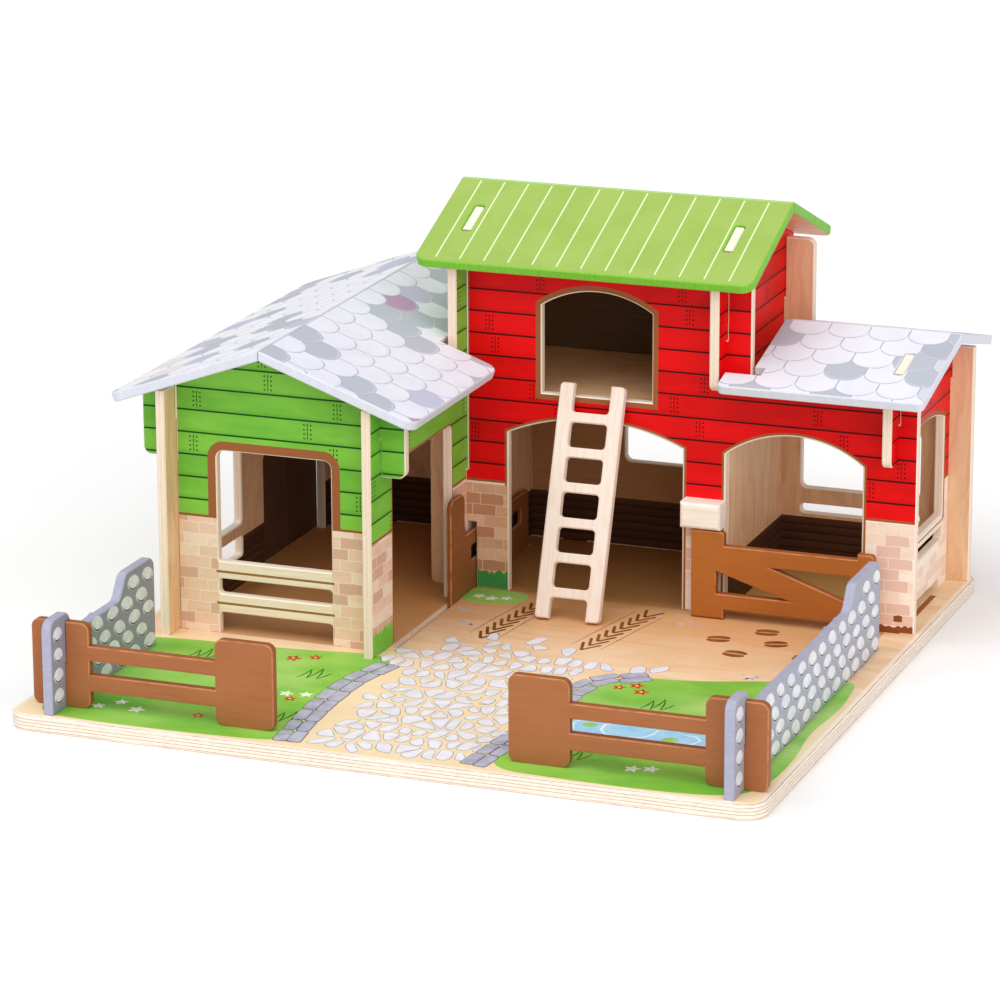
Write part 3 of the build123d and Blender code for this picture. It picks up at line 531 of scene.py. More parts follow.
@dataclass(frozen=True)
class GrassLook:
    """Printed grass: flat green with soft clouds and a few darker strokes."""

    light: Colour = tone("97D154")
    deep: Colour = tone("68B836")
    blade: Colour = tone("4C9A20")

    def draw(self, r: Recipe, h: Value, v: Value) -> Socket:
        """Draws the grass.

        Args:
            r: The material being built.
            h: First place.
            v: Second place.

        Returns:
            The print's colour.
        """
        cloud = r.noise(h * 0.018, v * 0.03, detail=3.0)
        blades = r.noise(h * 0.9, v * 0.25, detail=2.0)
        paint = r.over(self.light, self.deep, r.ramp(cloud, 0.35, 0.7) * 0.75)
        return r.over(paint, self.blade, r.ramp(blades, 0.62, 0.8) * 0.25)


@dataclass(frozen=True)
class PlankLook:
    """Pale bare planks with fine grain."""

    face: Colour = tone("F7E4CE")
    streak: Colour = tone("EBCFAE")

    def draw(self, r: Recipe, h: Value, v: Value) -> Socket:
        """Draws the planks, with their grain along the first place."""
        grain = r.noise(h * 0.03, v * 0.6, detail=3.0)
        return r.over(self.face, self.streak, r.ramp(grain, 0.4, 0.75) * 0.6)


GREEN_BOARDS = BoardLook(tone("87CA48"), tone("52A52E"), tone("1D4A12"), first_joint=93.6)
RED_BOARDS = BoardLook(tone("F00A0E"), tone("B9080C"), tone("4A0508"), first_joint=91.6)
WAINSCOT = BoardLook(
    tone("5E3D2B"),
    tone("3E261A"),
    tone("1E100A"),
    first_joint=FLOOR_Z,
    pitch=5.4,
    line_width=0.4,
    marked=False,
)
WAINSCOT_TOP_Z = 42.0
LINE_WIDTH = 1.6
STABLE_JOINT = 83.0
STABLE_BRICKS = BrickLook()
# painted shade: darker, warmer bricks for the barn's left pier
SHADED_PIER_BRICKS = BrickLook(tones=(tone("DFB08C"), tone("C68E6C"), tone("E9C3A0")), mortar=tone("EFD0B2"))
BARN_BRICKS = BrickLook(tones=(tone("FADFCB"), tone("EAC3B0"), tone("FDEBDA")))
PALE_BRICKS = BrickLook(tones=(tone("FFEAD6"), tone("F8D8C6"), tone("FFF1E0")), mortar=tone("FFF7EB"))
GRASS = GrassLook()
# painted shade: darker grass for the foot of the barn's left pier
SHADED_GRASS = GrassLook(light=tone("5DA855"), deep=tone("3C8A48"))
BROWN_LINE = tone("9F5F38")
# brown marks along the foot of a wall
BROWN_FOOT_MARKS = tone("8E4C26")
CREAM = tone("FBE8CF")


# ---- wall panels


class Broad(Enum):
    """The way that a panel's broad faces look."""

    ACROSS = "y"
    ALONG = "x"


class Side(Enum):
    """One of a panel's two broad faces, or one of a ridge's two slopes."""

    LOW = -1
    HIGH = 1


@dataclass(frozen=True)
class Hole:
    """An opening with a drawn frame: a cream line next to it, then a brown one."""

    left: float
    right: float
    low: float
    high: float
    corner: float = 4.0
    rise: float = 0.0
    cream: float = 0.8
    brown: float = 3.0
    frame_from: float = 0.0

    def distance(self, r: Recipe, h: Value, v: Value) -> Value:
        """How far a point lies outside the opening.

        Args:
            r: The material being built.
            h: Place along the wall.
            v: Height.

        Returns:
            The distance, negative inside.
        """
        half = (self.right - self.left) / 2
        aside = abs(h - (self.left + self.right) / 2)
        if self.rise:
            radius = (half * half + self.rise * self.rise) / (2 * self.rise)
            up = v - (self.high + self.rise - radius)
            arch = (aside * aside + up * up).root() - radius
            return (aside - half).most(arch).most(self.low - v)
        tall = (self.high - self.low) / 2
        beyond_h = aside - half + self.corner
        beyond_v = abs(v - (self.low + self.high) / 2) - tall + self.corner
        out_h = beyond_h.most(0.0)
        out_v = beyond_v.most(0.0)
        return (out_h * out_h + out_v * out_v).root() + beyond_h.most(beyond_v).least(0.0) - self.corner


@dataclass(frozen=True)
class Patch:
    """A rectangle of a pattern on one broad face."""

    side: Side
    pattern: Union[BoardLook, BrickLook, GrassLook, PlankLook, Colour]
    left: float = -400.0
    right: float = 400.0
    low: float = 0.0
    high: float = 400.0
    ragged: float = 0.0


@dataclass(frozen=True)
class WallLook:
    """A ply panel: bare edges, bare faces, and patches printed on them.

    The late patches are printed over the frames of the openings, the others under them.
    """

    name: str
    broad: Broad
    start: float
    patches: tuple[Patch, ...] = ()
    holes: tuple[Hole, ...] = ()
    framed: Side = Side.LOW
    late: tuple[Patch, ...] = ()
    wood: WoodLook = WoodLook()
    # painted highlight on the faces that point up
    top_highlight: Colour = tone("FEF5E6")

    def material(self) -> Material:
        """Builds the panel's material.

        Returns:
            The material.
        """
        r = Recipe(self.name)
        x, y, z = r.place()
        nx, ny, nz = r.facing()
        along, depth, out = (x, y, ny) if self.broad is Broad.ACROSS else (y, x, nx)
        paint: Paint = self.wood.draw_face(r, z, along, depth)
        masks = {Side.LOW: out < -0.9, Side.HIGH: out > 0.9}
        paint = self.print_patches(r, paint, self.patches, masks, along, z)
        for hole in self.holes:
            far = hole.distance(r, along, z)
            drawn = masks[self.framed] * (z > hole.frame_from)
            paint = r.over(paint, BROWN_LINE, (far < hole.cream + hole.brown) * drawn)
            paint = r.over(paint, CREAM, (far < hole.cream) * drawn)
        paint = self.print_patches(r, paint, self.late, masks, along, z)
        edge = self.wood.draw_edge(r, depth - self.start, along, z)
        paint = r.over(paint, edge, abs(out) < 0.9)
        # painted highlight: faces that point up are lightened
        paint = r.over(paint, self.top_highlight, (nz > 0.5) * 0.7)
        fibre = r.noise(z * 0.1, along * 1.5, depth)
        roughness = 0.42 + fibre * 0.14
        return r.done(paint, roughness, fibre, 0.00008, coat=0.03)

    def print_patches(
        self,
        r: Recipe,
        paint: Paint,
        patches: Sequence[Patch],
        masks: dict[Side, Value],
        h: Value,
        v: Value,
    ) -> Paint:
        """Prints patches over a paint, each over the ones before it.

        Args:
            r: The material being built.
            paint: What lies beneath.
            patches: The patches.
            masks: Where each broad face is.
            h: Place along the wall.
            v: Height.

        Returns:
            The printed paint.
        """
        for patch in patches:
            pattern = patch.pattern
            drawn = pattern if isinstance(pattern, tuple) else pattern.draw(r, h, v)
            paint = r.over(paint, drawn, self.inside(r, patch, h, v) * masks[patch.side])
        return paint

    @staticmethod
    def inside(r: Recipe, patch: Patch, h: Value, v: Value) -> Value:
        """Finds where a patch lies, with a ragged top where it has one.

        Args:
            r: The material being built.
            patch: The patch.
            h: Place along the wall.
            v: Height.

        Returns:
            The patch's mask.
        """
        top: Number = patch.high
        if patch.ragged:
            blade = abs((h / 5.0 + r.noise(h * 0.1, 0.0) * 2.0).part() - 0.5) * 2.0
            hill = r.noise(h * 0.07, 4.0)
            top = patch.high - patch.ragged + (blade * 0.35 + hill) * patch.ragged
        return (h > patch.left) * (h < patch.right) * (v > patch.low) * (v < top)


def clad(
    side: Side, boards: BoardLook, bricks: BrickLook, joint: float, **limits: float
) -> tuple[Patch, ...]:
    """Prints boards above and bricks below, with a brown line between them.

    Args:
        side: The broad face that is printed.
        boards: The boards.
        bricks: The bricks.
        joint: The height where they meet.
        **limits: The left and right limits of the print.

    Returns:
        The patches, in painting order.
    """
    return (
        Patch(side, boards, low=joint, **limits),
        Patch(side, bricks, high=joint, **limits),
        Patch(side, BROWN_LINE, low=joint, high=joint + LINE_WIDTH, **limits),
    )


def wainscot(side: Side, left: float, right: float) -> Patch:
    """The dark boards along the foot of a room's wall."""
    return Patch(side, WAINSCOT, left=left, right=right, high=WAINSCOT_TOP_Z)


# ---- roofs and painted pieces


@dataclass(frozen=True)
class Slope:
    """A roof slab's slope: which way it runs down, and from which ridge."""

    run: Broad
    side: Side
    ridge: float
    pitch: float

    def read(self, r: Recipe) -> tuple[Value, Value, Value]:
        """Reads a point's place on the slope.

        Args:
            r: The material being built.

        Returns:
            The distance down the slope, the place along the ridge, and how far the face points up.
        """
        x, y, _ = r.place()
        nx, ny, nz = r.facing()
        run, along, lean = (x, y, nx) if self.run is Broad.ALONG else (y, x, ny)
        turn = math.radians(self.pitch)
        down = (run - self.ridge) * (self.side.value / math.cos(turn))
        up = lean * (self.side.value * math.sin(turn)) + nz * math.cos(turn)
        return down, along, up


@dataclass(frozen=True)
class ShingleLook:
    """Printed fish-scale shingles in white, lilac and grey."""

    base: Colour = tone("EDEDF7")
    shadow: Colour = tone("DDDDEA")
    line: Colour = tone("B4B5C6")
    odd: tuple[Colour, ...] = (tone("BCC1CC"), tone("C6C5DC"), tone("BE9CBB"), tone("EAE6DF"))
    odd_from: tuple[float, ...] = (0.68, 0.85, 0.93, 0.97)
    edge: Colour = tone("D9DBE7")
    edge_cloud: Colour = tone("E4E5EF")
    seed: float = 5.0
    width: float = 25.4
    pitch: float = 17.8
    scallop: float = 10.5
    line_width: float = 0.45

    def material(self, name: str, slope: Slope) -> Material:
        """Builds the material of one slab.

        Args:
            name: The material's name.
            slope: The slab's slope.

        Returns:
            The material.
        """
        r = Recipe(name)
        down, along, up = slope.read(r)
        drift = (r.noise(down * 0.1, along * 0.1) - 0.5) * 1.2
        down = down + drift
        half = self.width / 2
        first = (down / self.pitch).floor()
        bow, _ = self.bow(first, along + drift)
        below = (first + 1.0) * self.pitch - bow
        row = first + (down > below)
        bow_here, across_here = self.bow(row, along + drift)
        column = ((along + drift) / self.width + row * 0.5).floor()
        pick = r.chance(column, row, self.seed)
        paint = r.over(self.base, self.shadow, r.ramp(r.noise(down * 0.04, along * 0.04), 0.3, 0.8) * 0.5)
        for start, colour in zip(self.odd_from, self.odd):
            paint = r.over(paint, colour, pick > start)
        tip = (row + 1.0) * self.pitch - bow_here - down
        paint = r.over(paint, self.shadow, r.ramp(tip, 2.6, 0.3) * 0.6)
        crease = abs(down - below) < self.line_width
        side = (abs(across_here) > half - self.line_width) * (tip > 0.0)
        paint = r.over(paint, self.line, crease.most(side))
        speck = r.noise(down * 0.25, along * 0.25, up * 9.0)
        painted_edge = r.over(self.edge, self.edge_cloud, r.ramp(speck, 0.4, 0.7) * 0.4)
        paint = r.over(paint, painted_edge, up < 0.9)
        return r.done(paint, 0.42, r.noise(down * 0.8, along * 0.8), 0.00003, coat=0.03)

    def bow(self, row: Value, along: Value) -> tuple[Value, Value]:
        """Finds how far a shingle's foot is cut back.

        Args:
            row: The shingle's row.
            along: Place along the ridge.

        Returns:
            The cut-back and the place across the shingle.
        """
        half = self.width / 2
        across = ((along / self.width + row * 0.5).part() - 0.5) * self.width
        round_off = (1.0 - (across / half) * (across / half)).most(0.0).root()
        return (1.0 - round_off) * self.scallop, across


@dataclass(frozen=True)
class StripedRoofLook:
    """A light green roof with pale seams that run down the slope."""

    top: Colour = tone("A6C262")
    deep: Colour = tone("99B954")
    edge: Colour = tone("82C63F")
    edge_cloud: Colour = tone("74BA36")
    seam: Colour = tone("E6F3C4")
    seam_shade: Colour = tone("9AC34C")
    pitch: float = 15.8
    first: float = -78.3
    line_width: float = 0.5
    seam_start: float = 3.0
    seam_end: float = 88.5
    ridge_line: float = 1.6

    def material(self, name: str, slope: Slope) -> Material:
        """Builds the material of one slab.

        Args:
            name: The material's name.
            slope: The slab's slope.

        Returns:
            The material.
        """
        r = Recipe(name)
        down, along, up = slope.read(r)
        cloud = r.noise(down * 0.03, along * 0.03, detail=3.0)
        paint = r.over(self.top, self.deep, r.ramp(cloud, 0.35, 0.7) * 0.6)
        near = abs(((along - self.first) / self.pitch + 0.5).part() - 0.5) * self.pitch
        drawn = r.between(down, self.seam_start, self.seam_end)
        paint = r.over(paint, self.seam_shade, (near < self.line_width * 2.2) * drawn * 0.5)
        paint = r.over(paint, self.seam, (near < self.line_width) * drawn)
        paint = r.over(paint, self.seam, r.between(down, -1.0, self.ridge_line) * 0.6)
        speck = r.noise(down * 0.5, along * 0.5)
        painted_edge = r.over(self.edge, self.edge_cloud, r.ramp(speck, 0.35, 0.7) * 0.7)
        paint = r.over(paint, painted_edge, up < 0.93)
        bare = WoodLook().draw_face(r, along, down, down)
        paint = r.over(paint, bare, up < -0.9)
        return r.done(paint, 0.45, speck, 0.00003, coat=0.03)


@dataclass(frozen=True)
class StainLook:
    """Brown paint on ply, with the grain showing a little and paler worn edges."""

    paint: Colour = tone("A96A42")
    deep: Colour = tone("9B5A34")
    worn: Colour = tone("C98A58")
    light: Colour = tone("B06F44")
    side: Colour = tone("8E4B26")
    # painted shade: a dark colour for the faces that point to the high side
    inner: Optional[Colour] = None

    def material(self, name: str, broad: Broad = Broad.ACROSS) -> Material:
        """Builds the paint of a panel.

        Args:
            name: The material's name.
            broad: The way that its broad faces look.

        Returns:
            The material.
        """
        r = Recipe(name)
        x, y, z = r.place()
        nx, ny, _ = r.facing()
        along, out = (x, ny) if broad is Broad.ACROSS else (y, nx)
        grain = r.noise(along * 0.03, z * 0.5, 1.0, detail=4.0)
        cloud = r.noise(along * 0.025, z * 0.03, 8.0)
        paint = r.over(self.paint, self.deep, r.ramp(grain, 0.35, 0.75) * 0.4)
        paint = r.over(paint, self.light, r.ramp(cloud, 0.4, 0.75) * 0.6)
        # painted shade: darkens the faces that point to the high side
        if self.inner:
            paint = r.over(paint, r.over(self.inner, self.deep, grain * 0.2), out > 0.9)
        chamfered = r.between(abs(out), 0.3, 0.95)
        rub = r.ramp(r.noise(along * 0.12, z * 0.12, 2.0), 0.3, 0.62)
        paint = r.over(paint, self.worn, chamfered * rub * 0.75)
        paint = r.over(paint, self.side, (abs(out) < 0.3) * 0.5)
        return r.done(paint, 0.4 + grain * 0.15, grain, 0.00006, coat=0.05)


@dataclass(frozen=True)
class StoneGroundLook:
    """The grey mortar that the printed wall stones lie in, with lilac edges."""

    ground: Colour
    ground_cloud: Colour = tone("9AA0A4")
    edge: Colour = tone("A9A9BE")
    edge_cloud: Colour = tone("B6B6CA")

    def material(self, name: str) -> Material:
        """Builds the paint of a low stone wall.

        Args:
            name: The material's name.

        Returns:
            The material.
        """
        r = Recipe(name)
        x, y, z = r.place()
        nx, _, _ = r.facing()
        speck = r.noise(y * 0.35, z * 0.35, x * 0.2, detail=3.0)
        paint = r.over(self.ground, self.ground_cloud, r.ramp(speck, 0.45, 0.8) * 0.6)
        edge = r.over(self.edge, self.edge_cloud, r.ramp(speck, 0.35, 0.7) * 0.5)
        paint = r.over(paint, edge, abs(nx) < 0.9)
        return r.done(paint, 0.45, speck, 0.00004, coat=0.03)


@dataclass(frozen=True)
class PaleWoodLook:
    """Bare pale wood of turned and cut small pieces."""

    face: Colour = tone("F8E7DC")
    streak: Colour = tone("EFD8C6")
    pore: Colour = tone("D8B088")
    grain: tuple[float, float, float] = (0.04, 0.6, 0.6)
    pore_share: float = 0.15

    def material(self, name: str) -> Material:
        """Builds the wood, with its grain along the axis of the smallest scale.

        Args:
            name: The material's name.

        Returns:
            The material.
        """
        r = Recipe(name)
        scaled = [c * scale for c, scale in zip(r.place(), self.grain)]
        streak = r.noise(*scaled, detail=4.0)
        pores = r.noise(*(c * 4.0 for c in scaled), detail=1.0)
        paint = r.over(self.face, self.streak, r.ramp(streak, 0.35, 0.75) * 0.8)
        paint = r.over(paint, self.pore, r.ramp(pores, 0.6, 0.85) * self.pore_share)
        return r.done(paint, 0.55, streak, 0.00008)


@dataclass(frozen=True)
class PinLook:
    """Drawn steel wire."""

    bright: Colour = tone("B8B9BE")
    dull: Colour = tone("8E9096")

    def material(self, name: str) -> Material:
        """Builds the metal, with fine rings along the wire.

        Args:
            name: The material's name.

        Returns:
            The material.
        """
        r = Recipe(name)
        x, y, z = r.place()
        rings = r.noise(x * 0.3, y * 0.3, z * 6.0)
        r.shader.inputs["Metallic"].default_value = 1.0
        paint = r.over(self.bright, self.dull, rings)
        return r.done(paint, 0.28 + rings * 0.15, rings, 0.00002)


@dataclass(frozen=True)
class BoardTopLook:
    """The base board: pale birch top with painted light at the front, painted shade before the barn and on
    the rooms' floors, straw in the side barn, a bright rim, and layered edges.
    """

    face: Colour = tone("FADCB8")
    streak: Colour = tone("EFC696")
    pore: Colour = tone("D6A467")
    # painted light: brightens the front of the yard
    front_light: Colour = tone("FBE6BC")
    # painted shade: darkens the ground before the barn
    barn_shade: Colour = tone("D99C62")
    # painted shade: darkens the rooms' floors
    room: Colour = tone("CC8848")
    # painted shade: darkens the tall barn's floor further towards the back
    deep_room_shade: Colour = tone("7E5A30")
    straw: Colour = tone("D9B36C")
    groove: Colour = tone("F6E0C2")
    groove_line: Colour = tone("D9A66A")
    slot: Colour = tone("A8662E")
    # painted shade: a dark brown patch at the foot of the side wall's slot
    rim: Colour = tone("FBEFDD")
    edge: Colour = tone("FAEDDF")
    edge_cloud: Colour = tone("F2DCC4")
    layer_line: Colour = tone("A57C6C")

    # where the rooms' floors lie
    stable_front: float = -49.0
    divider: float = -66.0
    barn_right: float = 100.0
    side_left: float = GABLE_X + PLY
    side_front: float = BARN_FRONT_Y + PLY

    # where each tint of painted light and shade on the ground goes over into the next, from none of it to all
    # of it
    front_light_fade: tuple[float, float] = (-20.0, -90.0)
    barn_shade_fade: tuple[float, float] = (-40.0, 76.0)
    deep_fade: tuple[float, float] = (74.0, 108.0)

    # the sliding gate's groove, the slot beside the side wall, the rim, and one layer of the edge
    groove_at: Point = (-62.9, 5.5)
    groove_half: Point = (2.7, 45.0)
    groove_line_half: float = 0.4
    slot_at: Point = (215.2, 140.5)
    slot_half: Point = (1.8, 33.5)
    rim_from: float = 226.5
    layer: float = 2.0

    def material(self, name: str) -> Material:
        """Builds the board's material.

        Args:
            name: The material's name.

        Returns:
            The material.
        """
        r = Recipe(name)
        x, y, z = r.place()
        _, _, nz = r.facing()
        wave = r.noise(x * 0.006, y * 0.02) * 8.0
        streak = r.noise(x * 0.012, y * 0.1 + wave, detail=4.0)
        pores = r.noise(x * 0.1, y * 1.6, 2.0, detail=1.0)
        paint = r.over(self.face, self.streak, r.ramp(streak, 0.35, 0.7) * 0.9)
        paint = r.over(paint, self.pore, r.ramp(pores, 0.62, 0.82) * 0.28)
        paint = self.tint_ground(r, paint, x, y)
        paint = self.draw_slots(r, paint, x, y)
        rim = (abs(x) > self.rim_from).most(abs(y) > self.rim_from)
        paint = r.over(paint, self.rim, rim * 0.8)
        paint = r.over(paint, self.draw_edge(r, x, y, z), nz < 0.9)
        return r.done(paint, 0.42 + pores * 0.12, pores, 0.00005, coat=0.03)

    def tint_ground(self, r: Recipe, paint: Paint, x: Value, y: Value) -> Paint:
        """Paints light on the front of the yard and shade before the barn and on the floors of the rooms, and
        tints the side barn's straw.

        Args:
            r: The material being built.
            paint: What lies beneath.
            x: Place from left to right.
            y: Place from front to back.

        Returns:
            The tinted paint.
        """
        # painted light: the yard is paler towards the front
        front_lit = r.ramp(y + (r.noise(x * 0.02, y * 0.02) - 0.5) * 60.0, *self.front_light_fade)
        paint = r.over(paint, self.front_light, front_lit * 0.75)
        # painted shade: the yard darkens towards the barn
        barn_shaded = r.ramp(y + (r.noise(x * 0.03, y * 0.02, 6.0) - 0.5) * 30.0, *self.barn_shade_fade)
        paint = r.over(paint, self.barn_shade, barn_shaded * (abs(x) < SIDE_WALL_X) * 0.8)
        # painted shade: the floors of the stable and the barn are darker
        in_stable = r.between(x, LEFT_WALL_X, self.divider) * (y > self.stable_front)
        in_barn = r.between(x, self.divider, SIDE_WALL_X) * (y > BARN_FRONT_Y)
        paint = r.over(paint, self.room, in_stable.most(in_barn) * (y < BACK_Y) * 0.7)
        # painted shade: the tall barn's floor is darker still towards the back
        deep = r.ramp(y + (r.noise(x * 0.05, y * 0.03, 4.0) - 0.5) * 10.0, *self.deep_fade)
        in_tall_barn = r.between(x, self.divider, self.barn_right) * (y < BACK_Y)
        paint = r.over(paint, self.deep_room_shade, deep * in_tall_barn * 0.72)
        in_side_barn = r.between(x, self.side_left, SIDE_WALL_X) * r.between(y, self.side_front, BACK_Y)
        return r.over(paint, self.straw, in_side_barn * 0.85)

    def draw_slots(self, r: Recipe, paint: Paint, x: Value, y: Value) -> Paint:
        """Draws the sliding gate's groove, and painted shade as a dark brown patch at the slot beside the
        side wall.

        Args:
            r: The material being built.
            paint: What lies beneath.
            x: Place from left to right.
            y: Place from front to back.

        Returns:
            The paint with both.
        """
        aside = abs(x - self.groove_at[0])
        along = abs(y - self.groove_at[1]) < self.groove_half[1]
        paint = r.over(paint, self.groove, (aside < self.groove_half[0]) * along * 0.8)
        line = abs(aside - self.groove_half[0]) < self.groove_line_half
        paint = r.over(paint, self.groove_line, line * along)
        # painted shade: the dark brown patch at the slot
        across = abs(x - self.slot_at[0]) < self.slot_half[0]
        return r.over(paint, self.slot, across * (abs(y - self.slot_at[1]) < self.slot_half[1]))

    def draw_edge(self, r: Recipe, x: Value, y: Value, z: Value) -> Socket:
        """Draws the board's layered edge.

        Args:
            r: The material being built.
            x: Place from left to right.
            y: Place from front to back.
            z: Height.

        Returns:
            The edge's colour.
        """
        step = (z + r.noise(x * 0.03, y * 0.03) * 0.5) / self.layer
        line = r.ramp(abs((step + 0.1).part() - 0.5), 0.38, 0.48)
        broken = r.ramp(r.noise(x * 0.02, y * 0.02, step.floor() * 4.0), 0.25, 0.5)
        cloud = r.ramp(r.noise(x * 0.2, y * 0.2, z), 0.4, 0.7)
        return r.over(r.over(self.edge, self.edge_cloud, cloud), self.layer_line, line * broken)


@dataclass(frozen=True)
class InkLook:
    """One printed ink, slightly uneven, as on the yard's drawn motifs."""

    light: Colour
    deep: Colour

    def material(self, name: str) -> Material:
        """Builds the ink.

        Args:
            name: The material's name.

        Returns:
            The material.
        """
        r = Recipe(name)
        x, y, z = r.place()
        cloud = r.noise(x * 0.12, y * 0.12, z * 0.12, detail=3.0)
        paint = r.over(self.light, self.deep, r.ramp(cloud, 0.35, 0.7))
        return r.done(paint, 0.42 + cloud * 0.1, cloud, 0.00002, coat=0.03)


@dataclass(frozen=True)
class LawnLook:
    """The yard's printed grass, with a painted sheen in pale soft clouds away from the front, stronger on the
    right.
    """

    # the painted sheen's colour
    pale: Colour = tone("C0DE88")

    def material(self, name: str) -> Material:
        """Builds the grass print.

        Args:
            name: The material's name.

        Returns:
            The material.
        """
        r = Recipe(name)
        x, y, _ = r.place()
        paint: Paint = GRASS.draw(r, x, y)
        # painted sheen: pale clouds towards the back, stronger on the right lawn
        soft = r.ramp(r.noise(x * 0.012, y * 0.016, 3.0), 0.4, 0.66) * r.ramp(y, -190.0, -110.0)
        paint = r.over(paint, self.pale, soft * (0.5 + 0.3 * (x > 0.0)))
        return r.done(paint, 0.42, r.noise(x * 0.4, y * 0.4), 0.00002, coat=0.03)


def ink(name: str, light: str, deep: str) -> Material:
    """Builds one printed ink from two colour codes."""
    return InkLook(tone(light), tone(deep)).material(name)


# ---- pieces of print


def stand(name: str, data: bpy.types.ID) -> bpy.types.Object:
    """Puts a mesh, a light or a camera into the scene.

    Args:
        name: The object's name.
        data: What it shows.

    Returns:
        The object.
    """
    made = bpy.data.objects.new(name, data)
    bpy.context.scene.collection.objects.link(made)
    return made


@dataclass(frozen=True)
class Home:
    """Where a piece of print belongs: its CAD body, and the name of a material slot that nothing here uses.
    """

    body: str
    slot: str

    def take(self, made: bpy.types.Object) -> None:
        """Hangs a finished piece on its body.

        Args:
            made: The piece.
        """
        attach(made, self.body)
        log.info("piece %s: %d faces on %s", made.name, len(made.data.polygons), self.body)


YARD_PRINT = Home("barn", "board")
STONE_PRINT = Home("barn", "stone_print")


def smooth_loop(points: Sequence[Point], rounds: int = 3) -> list[Point]:
    """Rounds a closed outline by cutting its corners.

    Args:
        points: The outline.
        rounds: How often the corners are cut.

    Returns:
        The smooth outline.
    """
    loop = list(points)
    for _ in range(rounds):
        cut: list[Point] = []
        for (ax, ay), (bx, by) in zip(loop, loop[1:] + loop[:1]):
            cut.append((ax * 0.75 + bx * 0.25, ay * 0.75 + by * 0.25))
            cut.append((ax * 0.25 + bx * 0.75, ay * 0.25 + by * 0.75))
        loop = cut
    return loop


def shrink(loop: Sequence[Point], by: float) -> list[Point]:
    """Moves each corner of an outline towards its middle.

    Args:
        loop: The outline.
        by: How far, in millimetres.

    Returns:
        The smaller outline.
    """
    cx = sum(p[0] for p in loop) / len(loop)
    cy = sum(p[1] for p in loop) / len(loop)
    small: list[Point] = []
    for x, y in loop:
        size = math.hypot(x - cx, y - cy) or 1.0
        factor = max(size - by, size * 0.3) / size
        small.append((cx + (x - cx) * factor, cy + (y - cy) * factor))
    return small


def turned(points: Sequence[Point], x: float, y: float, turn: float) -> list[Point]:
    """Turns an outline about its own origin and sets it down at a place.

    Args:
        points: The outline.
        x: First coordinate of the place.
        y: Second coordinate of the place.
        turn: The turn in radians.

    Returns:
        The outline in its place.
    """
    c, s = math.cos(turn), math.sin(turn)
    return [(x + a * c - b * s, y + a * s + b * c) for a, b in points]


def ellipse(x: float, y: float, rx: float, ry: float, turn: float = 0.0, count: int = 20) -> list[Point]:
    """Lays points round an ellipse.

    Args:
        x: First coordinate of its middle.
        y: Second coordinate of its middle.
        rx: Its first radius.
        ry: Its second radius.
        turn: Its turn in radians.
        count: How many points there are.

    Returns:
        The points.
    """
    angles = [2 * math.pi * i / count for i in range(count)]
    return turned([(rx * math.cos(a), ry * math.sin(a)) for a in angles], x, y, turn)


def beside(path: Sequence[Point], offset: float) -> list[Point]:
    """Draws a line that runs beside a path.

    Args:
        path: The path.
        offset: How far to its left the line runs.

    Returns:
        The line.
    """
    moved: list[Point] = []
    for i, (x, y) in enumerate(path):
        ax, ay = path[max(i - 1, 0)]
        bx, by = path[min(i + 1, len(path) - 1)]
        size = math.hypot(bx - ax, by - ay)
        moved.append((x - (by - ay) / size * offset, y + (bx - ax) / size * offset))
    return moved


def clip(cell: list[Point], a: Point, b: Point) -> list[Point]:
    """Keeps the part of a cell that is nearer to one point than to another.

    Args:
        cell: The cell's outline.
        a: The point whose side is kept.
        b: The other point.

    Returns:
        The outline that is left.
    """
    mx, my, dx, dy = (a[0] + b[0]) / 2, (a[1] + b[1]) / 2, b[0] - a[0], b[1] - a[1]
    kept: list[Point] = []
    for (px, py), (qx, qy) in zip(cell, cell[1:] + cell[:1]):
        p_side = (px - mx) * dx + (py - my) * dy
        q_side = (qx - mx) * dx + (qy - my) * dy
        if p_side <= 0:
            kept.append((px, py))
        if p_side * q_side < 0:
            t = p_side / (p_side - q_side)
            kept.append((px + (qx - px) * t, py + (qy - py) * t))
    return kept


